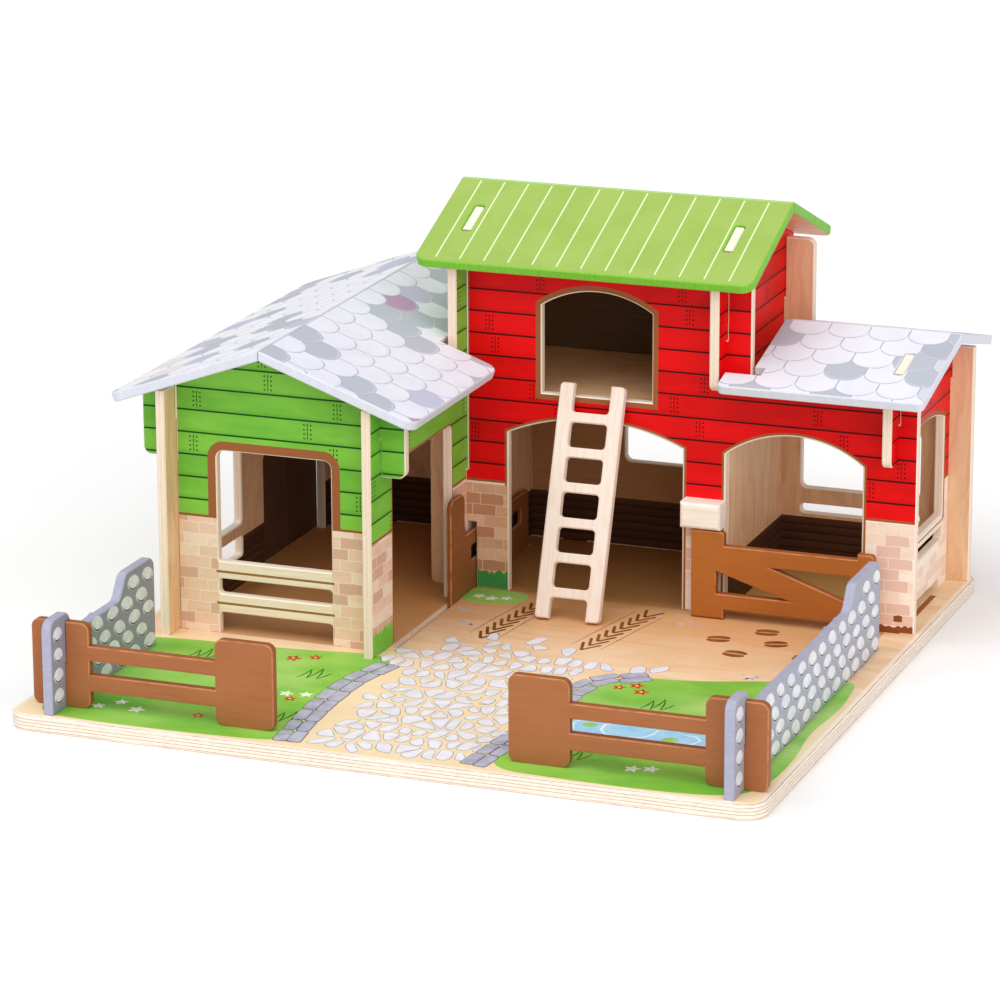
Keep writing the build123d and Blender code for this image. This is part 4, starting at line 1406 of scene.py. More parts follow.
class Sheet:
    """Collects flat shapes into one thin mesh that lies on the board."""

    stroke_taper: float = 0.45

    def __init__(self, name: str, thickness: float) -> None:
        """Starts an empty sheet.

        Args:
            name: The piece's name.
            thickness: The sheet's thickness in millimetres.
        """
        self.name = name
        self.thickness = thickness
        self.mesh = bmesh.new()

    def corner(self, x: float, y: float, rise: float) -> bmesh.types.BMVert:
        """One corner of a shape, at a height over the board."""
        return self.mesh.verts.new((x * MM, y * MM, (FLOOR_Z + rise) * MM))

    def add(self, loop: Sequence[Point]) -> None:
        """Adds one closed shape.

        Args:
            loop: Its outline in millimetres.
        """
        following = list(loop[1:]) + [loop[0]]
        area = sum(a[0] * b[1] - b[0] * a[1] for a, b in zip(loop, following))
        outline = list(loop) if area > 0 else list(reversed(loop))
        low = [self.corner(x, y, 0.0) for x, y in outline]
        high = [self.corner(x, y, self.thickness) for x, y in outline]
        self.mesh.faces.new(high)
        self.mesh.faces.new(list(reversed(low)))
        for i in range(len(outline)):
            j = (i + 1) % len(outline)
            self.mesh.faces.new((low[i], low[j], high[j], high[i]))

    def stroke(self, points: Sequence[Point], width: float) -> None:
        """Adds a brush stroke along a line, tapering at its ends.

        Args:
            points: The line.
            width: The stroke's width in millimetres.
        """
        last = len(points) - 1
        section = ((1, 0.0), (-1, 0.0), (-1, self.thickness), (1, self.thickness))
        rings: list[list[bmesh.types.BMVert]] = []
        for i, (x, y) in enumerate(points):
            ax, ay = points[max(i - 1, 0)]
            bx, by = points[min(i + 1, last)]
            size = math.hypot(bx - ax, by - ay) or 1.0
            half = width / 2 * (1.0 if 0 < i < last else self.stroke_taper)
            nx, ny = -(by - ay) / size * half, (bx - ax) / size * half
            rings.append([self.corner(x + side * nx, y + side * ny, rise) for side, rise in section])
        for one, two in zip(rings, rings[1:]):
            for k in range(4):
                n = (k + 1) % 4
                self.mesh.faces.new((one[k], two[k], two[n], one[n]))
        self.mesh.faces.new(rings[0])
        self.mesh.faces.new(rings[-1][::-1])

    def finish(self, material: Material) -> None:
        """Makes the object and hangs it on its body.

        Args:
            material: Its material.
        """
        bmesh.ops.triangulate(self.mesh, faces=[f for f in self.mesh.faces if len(f.verts) > 4])
        bmesh.ops.recalc_face_normals(self.mesh, faces=self.mesh.faces[:])
        data = bpy.data.meshes.new(self.name)
        self.mesh.to_mesh(data)
        self.mesh.free()
        data.materials.append(material)
        YARD_PRINT.take(stand(self.name, data))


def point_mesh(name: str, points: Sequence[Sequence[float]], line: bool = False) -> bpy.types.Mesh:
    """Makes a mesh of loose points, or of one line through them.

    Args:
        name: The mesh's name.
        points: Places in millimetres.
        line: Whether the points are joined.

    Returns:
        The mesh.
    """
    data = bpy.data.meshes.new(name)
    edges = [(i, i + 1) for i in range(len(points) - 1)] if line else []
    data.from_pydata([tuple(c * MM for c in p) for p in points], edges, [])
    return data


# ---- geometry nodes

FLOAT, WHOLE, VECTOR = "NodeSocketFloat", "NodeSocketInt", "NodeSocketVector"
MATERIAL, GEOMETRY = "NodeSocketMaterial", "NodeSocketGeometry"


class Growth:
    """Builds one geometry node tree with named inputs and bakes what it makes."""

    def __init__(self, name: str, inputs: dict[str, str]) -> None:
        """Starts a tree.

        Args:
            name: The tree's name.
            inputs: Input names and their socket types.
        """
        self.tree = bpy.data.node_groups.new(name, "GeometryNodeTree")
        side = self.tree.interface
        side.new_socket("Geometry", in_out="INPUT", socket_type=GEOMETRY)
        self.ids: dict[str, str] = {}
        for key, kind in inputs.items():
            socket = side.new_socket(key, in_out="INPUT", socket_type=kind)
            self.ids[key] = socket.identifier
        side.new_socket("Geometry", in_out="OUTPUT", socket_type=GEOMETRY)
        self.source = self.tree.nodes.new("NodeGroupInput")
        self.sink = self.tree.nodes.new("NodeGroupOutput")

    def node(self, kind: str, links: Optional[dict] = None, **settings: object) -> Node:
        """Adds a node, sets its options, and feeds its inputs.

        Args:
            kind: The node's type name.
            links: Input name or index, and the socket or constant that goes in.
            **settings: Options to set on it.

        Returns:
            The new node.
        """
        made = self.tree.nodes.new(kind)
        for key, value in settings.items():
            setattr(made, key, value)
        for key, value in (links or {}).items():
            if isinstance(value, Socket):
                self.tree.links.new(value, made.inputs[key])
            else:
                made.inputs[key].default_value = value
        return made

    def given(self, name: str) -> Socket:
        """One of the tree's inputs."""
        return self.source.outputs[name]

    def fill(self, outline: Node, radius: str, count: int, limited: bool) -> Node:
        """Rounds an outline's corners and fills it.

        Args:
            outline: The node that draws it.
            radius: The input that holds the corners' radius.
            count: Points on each corner.
            limited: Whether a corner keeps clear of the next one.

        Returns:
            The node that makes the flat face.
        """
        links = {"Curve": outline.outputs[0], "Radius": self.given(radius)}
        links |= {"Count": count, "Limit Radius": limited}
        rounded = self.node("GeometryNodeFilletCurve", links, mode="POLY")
        return self.node("GeometryNodeFillCurve", {"Curve": rounded.outputs[0]}, mode="NGONS")

    def thicken(self, face: Socket) -> Socket:
        """Turns a flat face into a closed block of the given thickness.

        Args:
            face: The face, pointing up.

        Returns:
            The block.
        """
        thickness = self.given("Thickness")
        raised = self.node("GeometryNodeExtrudeMesh", {"Mesh": face, "Offset Scale": thickness}, mode="FACES")
        under = self.node("GeometryNodeFlipFaces", {"Mesh": face})
        joined = self.node("GeometryNodeJoinGeometry")
        self.tree.links.new(raised.outputs[0], joined.inputs[0])
        self.tree.links.new(under.outputs[0], joined.inputs[0])
        merged = self.node("GeometryNodeMergeByDistance", {"Geometry": joined.outputs[0], "Distance": 1e-6})
        return merged.outputs[0]

    def scatter(
        self,
        points: Socket,
        block: Socket,
        rotation: Socket,
        scale: Socket,
        spin: Socket,
    ) -> None:
        """Sets a block on each point and ends the tree in Realize Instances and Set Material.

        Args:
            points: The points.
            block: The block.
            rotation: How each block stands.
            scale: How large each block is.
            spin: Each block's further turn in its own plane.
        """
        links = {"Points": points, "Instance": block, "Rotation": rotation, "Scale": scale}
        placed = self.node("GeometryNodeInstanceOnPoints", links)
        around = self.node("ShaderNodeCombineXYZ", {2: spin})
        links = {"Instances": placed.outputs[0], "Rotation": around.outputs[0]}
        spun = self.node("GeometryNodeRotateInstances", links)
        real = self.node("GeometryNodeRealizeInstances", {0: spun.outputs[0]})
        links = {"Geometry": real.outputs[0], "Material": self.given("Material")}
        coloured = self.node("GeometryNodeSetMaterial", links)
        self.tree.links.new(coloured.outputs[0], self.sink.inputs[0])

    def bake(self, name: str, data: bpy.types.Mesh, values: dict[str, object], home: Home) -> None:
        """Runs the tree on a mesh and keeps the result as a plain mesh.

        Args:
            name: The piece's name.
            data: The mesh of points or lines that goes in.
            values: A value for each input.
            home: Where the piece belongs.
        """
        made = stand(name, data)
        modifier = made.modifiers.new("growth", "NODES")
        modifier.node_group = self.tree
        for key, value in values.items():
            modifier[self.ids[key]] = value
        bpy.context.view_layer.update()
        shown = made.evaluated_get(bpy.context.evaluated_depsgraph_get())
        baked = bpy.data.meshes.new_from_object(shown)
        made.modifiers.clear()
        made.data = baked
        if not baked.materials:
            baked.materials.append(values["Material"])
        home.take(made)


class PathRow(Growth):
    """Flat rounded blocks in a row along a path: curb stones and tyre treads."""

    def __init__(self) -> None:
        """Builds the tree."""
        sizes = ("Spacing", "Length", "Width", "Corner", "Turn", "Uneven", "Thickness")
        inputs = dict.fromkeys(sizes, FLOAT) | {"Seed": WHOLE, "Material": MATERIAL}
        super().__init__("row_along_path", inputs)
        points = self.space_out()
        facing = self.node(
            "FunctionNodeAlignRotationToVector",
            {"Vector": points.outputs["Tangent"]},
            axis="X",
            pivot_axis="Z",
        )
        sides = {"Width": self.given("Length"), "Height": self.given("Width")}
        block = self.node("GeometryNodeCurvePrimitiveQuadrilateral", sides)
        solid = self.thicken(self.fill(block, "Corner", 3, False).outputs[0])
        self.scatter(points.outputs[0], solid, facing.outputs[0], self.uneven_size(), self.given("Turn"))

    def space_out(self) -> Node:
        """Lays evenly spaced points on a smooth curve through the path.

        Returns:
            The node that makes the points.
        """
        curve = self.node("GeometryNodeMeshToCurve", {"Mesh": self.given("Geometry")})
        spline = self.node(
            "GeometryNodeCurveSplineType", {"Curve": curve.outputs[0]}, spline_type="CATMULL_ROM"
        )
        links = {"Curve": spline.outputs[0], "Length": self.given("Spacing")}
        even = self.node("GeometryNodeResampleCurve", links, mode="LENGTH")
        return self.node("GeometryNodeCurveToPoints", {"Curve": even.outputs[0]}, mode="EVALUATED")

    def uneven_size(self) -> Socket:
        """Varies each block's length and width a little at random.

        Returns:
            The block's scale.
        """
        draw = self.node("FunctionNodeRandomValue", {"Seed": self.given("Seed")}, data_type="FLOAT_VECTOR")
        spread = self.vector_math("SUBTRACT", draw.outputs[0], (0.5, 0.5, 0.5))
        scaled = self.node(
            "ShaderNodeVectorMath", {0: spread, "Scale": self.given("Uneven")}, operation="SCALE"
        )
        flat = self.vector_math("MULTIPLY", scaled.outputs[0], (1.0, 1.0, 0.0))
        return self.vector_math("ADD", flat, (1.0, 1.0, 1.0))

    def vector_math(
        self, operation: str, vector: Socket, by: tuple[float, float, float]
    ) -> Socket:
        """One sum on a vector and a constant."""
        return self.node("ShaderNodeVectorMath", {0: vector, 1: by}, operation=operation).outputs[0]


class Studs(Growth):
    """One flat star-shaped or round motif on each point, turned to a given plane."""

    def __init__(self) -> None:
        """Builds the tree."""
        inputs = {"Petals": WHOLE, "Inner": FLOAT, "Outer": FLOAT, "Round": FLOAT}
        inputs |= {"Stretch": VECTOR, "Stand": VECTOR, "Spin": FLOAT, "Smallest": FLOAT}
        inputs |= {"Thickness": FLOAT, "Seed": WHOLE, "Material": MATERIAL}
        super().__init__("motif_on_points", inputs)
        radii = {"Inner Radius": self.given("Inner"), "Outer Radius": self.given("Outer")}
        star = self.node("GeometryNodeCurveStar", {"Points": self.given("Petals"), **radii})
        face = self.fill(star, "Round", 2, True)
        links = {"Geometry": face.outputs[0], "Scale": self.given("Stretch")}
        solid = self.thicken(self.node("GeometryNodeTransform", links).outputs[0])
        seed = self.given("Seed")
        draw = self.node("FunctionNodeRandomValue", {"Seed": seed}, data_type="FLOAT")
        angle = self.node("ShaderNodeMath", {0: draw.outputs[1], 1: self.given("Spin")}, operation="MULTIPLY")
        other_seed = self.node("ShaderNodeMath", {0: seed, 1: 5.0}, operation="ADD")
        limits = {2: self.given("Smallest"), 3: 1.0, "Seed": other_seed.outputs[0]}
        size = self.node("FunctionNodeRandomValue", limits, data_type="FLOAT")
        points = self.given("Geometry")
        self.scatter(points, solid, self.given("Stand"), size.outputs[1], angle.outputs[0])


# ---- the yard's print


@dataclass(frozen=True)
class Lane:
    """One row of blocks beside a path.

    Its place and sizes are in millimetres, its unevenness is a share and its turn is in radians.
    """

    name: str
    offset: float
    spacing: float
    length: float
    width: float
    corner: float
    uneven: float
    turn: float = 0.0


@dataclass(frozen=True)
class Cobbles:
    """The cobbled path: cells round scattered points, cut small so that gaps stay between them."""

    seed: int = 11
    step: Point = (9.4, 16.6)
    scatter: Point = (2.4, 5.6)
    columns: range = range(-8, 15)
    rows: range = range(-16, 4)
    first_row_y: float = 20.0
    cell_half: Point = (12.0, 14.0)
    reach: Point = (30.0, 40.0)
    jitter: Point = (0.9, 1.6)
    gap: Point = (1.0, 2.3)
    line: float = 0.5
    front: float = -221.0
    outer_left: float = -64.0
    outer_right: float = 118.0

    # from which place on towards the back the path ends where, on its left and on its right
    lefts: Points = ((-40.0, -52.0), (-75.0, -60.0), (-221.0, -44.0))
    rights: Points = (
        (-28.0, 104.0), (-40.0, 84.0), (-75.0, 62.0), (-120.0, 58.0), (-221.0, 54.0),
    )  # fmt: skip

    # where the cobbles thin out: from the second line on, and in the middle from the first
    middle: Point = (-20.0, 60.0)
    fade_from: Point = (-28.0, -36.0)
    fade: float = 42.0
    spread_share: float = 0.8

    def likely(self, x: float, y: float) -> float:
        """How surely a cobble lies at a place: one on the path and falling away past its far end.

        Args:
            x: First coordinate of the place.
            y: Second coordinate of the place.

        Returns:
            The chance, from zero to one.
        """
        if y < self.front or not self.outer_left <= x <= self.outer_right:
            return 0.0
        left = next(limit for start, limit in self.lefts if y >= start)
        right = next(limit for start, limit in self.rights if y >= start)
        if x < left or x > right:
            return 0.0
        in_middle = self.middle[0] < x < self.middle[1]
        fade_from = self.fade_from[0] if in_middle else self.fade_from[1]
        if y < fade_from:
            return 1.0
        return max(0.0, 1.0 - (y - fade_from) / self.fade) * self.spread_share

    def lay(self) -> None:
        """Lays the cobbles, each as a dark outline under a pale face."""
        chance = random.Random(self.seed)
        seeds: list[Point] = []
        step_x, step_y = self.step
        drift_x, drift_y = self.scatter
        for i in self.columns:
            for j in self.rows:
                x = i * step_x + (j % 2) * step_x / 2 + chance.uniform(-drift_x, drift_x)
                y = j * step_y + self.first_row_y + chance.uniform(-drift_y, drift_y)
                seeds.append((x, y))
        lines = Sheet("yard_cobble_lines", 0.10)
        faces = Sheet("yard_cobbles", 0.16)
        for seed in seeds:
            if chance.random() > self.likely(*seed):
                continue
            cell = self.cell_round(seed, seeds)
            if len(cell) < 3:
                continue
            jx, jy = self.jitter
            rough = [(x + chance.uniform(-jx, jx), y + chance.uniform(-jy, jy)) for x, y in cell]
            stone = smooth_loop(shrink(rough, chance.uniform(*self.gap)), rounds=2)
            lines.add(stone)
            faces.add(shrink(stone, self.line))
        lines.finish(ink("cobble_line", "9C9DAE", "8C8DA0"))
        faces.finish(ink("cobble_print", "F3F2F9", "E6E5EE"))

    def cell_round(self, seed: Point, seeds: Sequence[Point]) -> list[Point]:
        """Cuts the cell of the places that are nearer to one point than to its neighbours.

        Args:
            seed: The cell's point.
            seeds: All points.

        Returns:
            The cell's outline.
        """
        x, y = seed
        half_x, half_y = self.cell_half
        corners = ((-1, -1), (1, -1), (1, 1), (-1, 1))
        cell = [(x + a * half_x, y + b * half_y) for a, b in corners]
        for other in seeds:
            near = abs(other[0] - x) < self.reach[0] and abs(other[1] - y) < self.reach[1]
            if other != seed and near:
                cell = clip(cell, seed, other)
        return cell


@dataclass(frozen=True)
class Yard:
    """The print on the base board: lawns, pond, curbs, cobbles, treads and prints."""

    lawn_left: Points = (
        (-218, -222), (-180, -226), (-120, -226), (-66, -222), (-58, -214), (-62, -180), (-66, -140),
        (-60, -100), (-52, -74), (-58, -60), (-76, -56), (-105, -62), (-150, -66), (-196, -68),
        (-219, -74), (-221, -110), (-216, -160),
    )  # fmt: skip
    lawn_right: Points = (
        (64, -222), (110, -225), (165, -226), (208, -221), (223, -202), (225, -150), (219, -105),
        (224, -60), (221, -20), (218, -6), (190, -14), (160, -27), (125, -39), (98, -42),
        (78, -52), (68, -72), (66, -110), (60, -165),
    )  # fmt: skip
    corner_grass: Points = (
        (-66, 70), (-58, 63), (-40, 61), (-24, 67), (-20, 80), (-26, 91), (-66, 91),
    )  # fmt: skip
    pond: Points = (
        (80, -140), (88, -166), (118, -174), (150, -170), (178, -158), (184, -134), (160, -116),
        (118, -112), (90, -120),
    )  # fmt: skip
    shore_parts: tuple[tuple[int, int], ...] = ((6, 34), (40, 66))
    ripples: tuple[Points, ...] = (
        ((109.0, -124.8), (104.7, -130.1), (105.2, -139.2), (109.4, -145.1), (113.5, -146.3)),
        ((123.8, -144.6), (128.8, -145.3), (133.3, -142.5), (136.0, -136.4), (136.7, -129.5)),
        (
            (147.4, -146.8), (155.1, -148.4), (162.6, -145.6), (165.2, -138.4), (160.7, -132.8),
            (151.9, -131.6),
        ),
        ((86.2, -131.3), (87.2, -136.6), (90.7, -143.7)),
    )  # fmt: skip
    lily_pads: tuple[tuple[float, float, float], ...] = (
        (96.5, -133.4, 4.6), (116.7, -149.1, 4.2), (148.3, -143.0, 5.0),
    )  # fmt: skip
    curb_left: Points = (
        (-57.5, -211), (-60.6, -184), (-62.5, -158), (-63, -123), (-60.5, -98), (-56, -80),
    )  # fmt: skip
    curb_right: Points = (
        (58.5, -212), (62, -180), (66, -138), (67, -100), (68.5, -76), (73, -60), (82, -49), (93, -44),
    )  # fmt: skip
    curb_lanes: tuple[Lane, ...] = (
        Lane("outer", -4.2, 18.6, 18.0, 7.7, 1.9, 0.12),
        Lane("inner", 4.2, 17.1, 16.6, 7.7, 1.9, 0.12),
    )
    treads: tuple[Points, ...] = (
        ((-20, 2), (-18, 20), (-15, 42), (-11, 66)),
        ((46, 2), (50, 22), (55, 48), (61, 76)),
    )
    tread_lanes: tuple[Lane, ...] = (
        Lane("a", -3.1, 9.2, 14.0, 2.0, 0.7, 0.18, -0.44),
        Lane("b", 3.1, 9.2, 14.0, 2.0, 0.7, 0.18, 0.44),
    )
    rut_offsets: tuple[float, ...] = (-10.0, 10.5)
    hoofs: tuple[tuple[float, float, float], ...] = (
        (116, 44, 0.2), (134, 20, -0.1), (152, 46, 0.3), (140, 66, 0.1), (176, 26, 0.0), (186, 58, -0.3),
    )  # fmt: skip
    hoof_half: Points = (
        (-6.6, 0.3), (-3.0, 0.9), (2.0, 0.9), (7.2, 0.6), (7.6, 3.4), (3.0, 6.2), (-3.6, 5.8), (-7.4, 3.0),
    )  # fmt: skip
    red_flowers: Points = (
        (-122, -196), (-84, -150), (-112, -80), (-100, -74), (90, -64), (99, -58), (105, -68),
    )  # fmt: skip
    white_flowers: Points = (
        (-184, -200), (-174, -190), (-160, -199), (-78, -140), (-90, -142), (144, -196), (154, -193),
        (-52, 75), (-43, 73), (-34, 76),
    )  # fmt: skip
    tufts: Points = ((-166, -96), (-88, -108), (122, -92), (106, -190), (-72, -186), (196, -70))
    tuft_points: Points = ((-8, -4), (-5, 12), (-2, -4), (1, 16), (4, -3), (9, 9))
    pebbles: tuple[tuple[float, float, int], ...] = (
        (-36, -12, 6), (-34, 20, 5), (-46, 46, 4), (78, 76, 4), (94, 68, 4), (152, -20, 5),
    )  # fmt: skip
    pebble_seed: int = 12

    def build(self, motif: Studs, row: PathRow) -> None:
        """Lays the whole print.

        Args:
            motif: The tree that sets motifs on points.
            row: The tree that lays blocks along a path.
        """
        dress("base_board", BoardTopLook().material("board_top"))
        self.lay_lawns()
        self.lay_pond()
        self.lay_curbs(row)
        Cobbles().lay()
        self.lay_treads(row)
        self.lay_hoofs()
        self.plant(motif)
        self.lay_tufts()
        self.lay_pebbles()

    def lay_lawns(self) -> None:
        """Prints the lawns."""
        sheet = Sheet("yard_lawns", 0.10)
        for loop in (self.lawn_left, self.lawn_right, self.corner_grass):
            sheet.add(smooth_loop(loop))
        sheet.finish(LawnLook().material("lawn_print"))

    def lay_pond(self) -> None:
        """Prints the pond, its shore line, its ripples and its lily pads."""
        water = Sheet("yard_pond", 0.15)
        shore = smooth_loop(self.pond)
        water.add(shore)
        water.finish(ink("water_print", "AEDBF5", "98CFF0"))
        ripples = Sheet("yard_ripples", 0.20)
        inner = shrink(shore, 2.0)
        for start, end in self.shore_parts:
            ripples.stroke(inner[start:end], 0.9)
        for arc in self.ripples:
            ripples.stroke(arc, 1.5)
        ripples.finish(ink("ripple_print", "F4FAFE", "E2F1FA"))
        pads = Sheet("yard_lily_pads", 0.22)
        for x, y, size in self.lily_pads:
            pads.add(ellipse(x, y, size, size * 0.8, 0.3))
        pads.finish(ink("lily_print", "A4D27C", "90C666"))

    def lay_row(
        self,
        row: PathRow,
        name: str,
        path: Sequence[Point],
        lane: Lane,
        seed: int,
        top: float,
        material: Material,
        grow: float = 0.0,
    ) -> None:
        """Lays one row of blocks beside a path.

        Args:
            row: The tree that lays blocks along a path.
            name: The piece's name.
            path: The path.
            lane: The row's place and sizes.
            seed: Seed of the blocks' small differences.
            top: The blocks' thickness in millimetres.
            material: Their material.
            grow: How much longer and wider they are than the lane says, in millimetres.
        """
        line = [(x, y, FLOOR_Z) for x, y in beside(path, lane.offset)]
        values = {
            "Spacing": lane.spacing * MM,
            "Length": (lane.length + grow) * MM,
            "Width": (lane.width + grow) * MM,
            "Corner": lane.corner * MM,
            "Turn": lane.turn,
            "Uneven": lane.uneven,
            "Thickness": top * MM,
            "Seed": seed,
            "Material": material,
        }
        row.bake(name, point_mesh(f"{name}_line", line, line=True), values, YARD_PRINT)

    def lay_curbs(self, row: PathRow) -> None:
        """Lays two rows of curb stones along each lawn, each with a drawn outline.

        Args:
            row: The tree that lays blocks along a path.
        """
        outline = ink("curb_line", "5E5E74", "4C4C62")
        stone = ink("curb_stone", "C2C2D2", "A9A9BE")
        for side, path, seed in (("left", self.curb_left, 4), ("right", self.curb_right, 9)):
            for lane in self.curb_lanes:
                name = f"yard_curb_{side}_{lane.name}"
                self.lay_row(row, f"{name}_line", path, lane, seed, 0.16, outline, grow=0.9)
                self.lay_row(row, f"{name}_stone", path, lane, seed, 0.21, stone)

    def lay_treads(self, row: PathRow) -> None:
        """Prints the tyre treads: two rows of slanted bars each, and a rut on either side.

        Args:
            row: The tree that lays blocks along a path.
        """
        bars = ink("tread_print", "8C5428", "74401C")
        rut = Sheet("yard_tread_rut", 0.08)
        for number, path in enumerate(self.treads):
            for lane in self.tread_lanes:
                self.lay_row(row, f"yard_tread_{number}_{lane.name}", path, lane, number, 0.12, bars)
            for offset in self.rut_offsets:
                rut.stroke(beside(path, offset), 0.7)
        rut.finish(ink("rut_print", "B07A48", "9E6838"))

    def lay_hoofs(self) -> None:
        """Prints the cloven hoof marks."""
        sheet = Sheet("yard_hoof_prints", 0.12)
        for x, y, turn in self.hoofs:
            for side in (-1, 1):
                lobe = [(a, b * side) for a, b in self.hoof_half]
                sheet.add(smooth_loop(turned(lobe, x, y, turn), rounds=2))
        sheet.finish(ink("hoof_print", "9A5B2E", "7D4420"))

    def plant(self, motif: Studs) -> None:
        """Sets out the flowers, each with a heart.

        Args:
            motif: The tree that sets motifs on points.
        """
        petals = {
            "Petals": 5,
            "Inner": 2.5 * MM,
            "Outer": 6.8 * MM,
            "Round": 0.6 * MM,
            "Stretch": (1.0, 0.95, 1.0),
            "Stand": (0.0, 0.0, 0.0),
            "Spin": 6.28,
            "Smallest": 0.75,
            "Thickness": 0.22 * MM,
            "Seed": 3,
        }
        heart = petals | {"Petals": 6, "Inner": 1.1 * MM, "Outer": 1.2 * MM, "Thickness": 0.27 * MM}
        red = (ink("red_petals", "D8442C", "B93420"), ink("flower_hearts", "FBE9B0", "F0D27A"))
        white = (ink("white_petals", "FCFDF4", "EEF3E2"), ink("white_flower_hearts", "F3F7D2", "E6EDB4"))
        for name, points, paints in (("red", self.red_flowers, red), ("white", self.white_flowers, white)):
            places = [(x, y, FLOOR_Z) for x, y in points]
            for part, sizes, paint in zip(("flowers", "flower_hearts"), (petals, heart), paints):
                data = point_mesh(f"{part}_{name}", places)
                motif.bake(f"yard_{part}_{name}", data, sizes | {"Material": paint}, YARD_PRINT)

    def lay_tufts(self) -> None:
        """Draws the grass tufts, each as a zigzag of five strokes."""
        blades = Sheet("yard_tufts", 0.18)
        for x, y in self.tufts:
            for a, b in zip(self.tuft_points, self.tuft_points[1:]):
                middle = ((a[0] + b[0]) / 2 + 0.8, (a[1] + b[1]) / 2)
                blades.stroke([(x + px, y + py) for px, py in (a, middle, b)], 0.9)
        blades.finish(ink("tuft_print", "2F5A1C", "234614"))

    def lay_pebbles(self) -> None:
        """Strews small pebbles in groups."""
        chance = random.Random(self.pebble_seed)
        stones = Sheet("yard_pebbles", 0.13)
        for x, y, count in self.pebbles:
            for _ in range(count):
                px, py = x + chance.uniform(-9, 9), y + chance.uniform(-4, 4)
                rx, ry, turn = chance.uniform(0.9, 2.4), chance.uniform(0.7, 1.6), chance.uniform(0, 3)
                stones.add(ellipse(px, py, rx, ry, turn, 9))
        stones.finish(ink("pebble_print", "C9C8D8", "AFAEC2"))


# ---- walls, roofs and moving pieces


def dress(node: str, material: Material) -> None:
    """Gives a CAD node a material.

    Args:
        node: The node's name.
        material: Its new material.
    """
    data = frame["nodes"][node].data
    data.materials.clear()
    data.materials.append(material)
    log.info("dressed %s in %s", node, material.name)


@dataclass(frozen=True)
class Stable:
    """The green stable: three printed walls and a shingled roof."""

    window: Hole = Hole(-174, -99, 56, 126, corner=5.0, cream=0.0, brown=6.0, frame_from=83.0)
    doorway: Hole = Hole(-31, 66, -122, 122, cream=0.4, brown=1.4)
    left_window: Hole = Hole(-24, 46, 50.8, 115, brown=4.0)
    side_doorway: Hole = Hole(80, 179, -86, 86)
    rail_line: Colour = tone("96703E")
    rail_line_z: tuple[float, ...] = (48.7, 28.6)
    divider_joint: float = 81.0
    room_front: float = -43.0
    pitch: float = 19.7

    def dress(self) -> None:
        """Dresses the walls and the roof slabs."""
        self.dress_front()
        self.dress_left()
        self.dress_divider()
        self.dress_roof()

    def dress_front(self) -> None:
        """Dresses the front wall, whose lower rails are left pale with a fine line."""
        rails = Patch(Side.LOW, PlankLook(), left=-174.0, right=-99.0, low=23.4, high=56.6)
        lines = tuple(
            Patch(Side.LOW, self.rail_line, left=-175.5, right=-97.5, low=low, high=low + 1.5)
            for low in self.rail_line_z
        )
        front = WallLook(
            "stable_front_print",
            Broad.ACROSS,
            STABLE_FRONT_Y,
            clad(Side.LOW, GREEN_BOARDS, STABLE_BRICKS, STABLE_JOINT) + (wainscot(Side.HIGH, -201.0, -72.0),),
            (self.window,),
            late=(rails, *lines, Patch(Side.LOW, CREAM, left=-200.6, right=-199.4, low=118.0)),
        )
        dress("stable_front_wall", front.material())

    def dress_left(self) -> None:
        """Dresses the outer side wall with the window and the pair of doors."""
        left = WallLook(
            "stable_left_print",
            Broad.ALONG,
            LEFT_WALL_X,
            clad(Side.LOW, GREEN_BOARDS, STABLE_BRICKS, STABLE_JOINT)
            + (wainscot(Side.HIGH, self.room_front, BACK_Y),),
            (self.left_window, self.side_doorway),
        )
        dress("stable_left_wall", left.material())

    def dress_divider(self) -> None:
        """Dresses the wall between the stable and the barn."""
        divider = WallLook(
            "divider_print",
            Broad.ALONG,
            DIVIDER_X,
            clad(Side.HIGH, GREEN_BOARDS, STABLE_BRICKS, self.divider_joint, right=92.5)
            + (
                Patch(Side.HIGH, GRASS, right=-29.0, high=27.0, ragged=8.0),
                wainscot(Side.HIGH, BARN_FRONT_Y + PLY, BACK_Y),
                wainscot(Side.LOW, self.room_front - 0.5, BACK_Y),
                Patch(Side.LOW, GREEN_BOARDS, low=176.0),
            ),
            (self.doorway,),
            framed=Side.HIGH,
        )
        dress("divider_wall", divider.material())

    def dress_roof(self) -> None:
        """Dresses the two slabs; the left one is painted lighter, as painted light."""
        # painted light: the left slab's colours are lighter
        lit = ShingleLook(base=tone("F7F7FD"), shadow=tone("ECECF4"))
        right = ShingleLook(seed=3.0)
        for end, side, look in (("left", Side.LOW, lit), ("right", Side.HIGH, right)):
            node = f"stable_roof_{end}"
            dress(node, look.material(f"{node}_print", Slope(Broad.ALONG, side, STABLE_MIDDLE_X, self.pitch)))


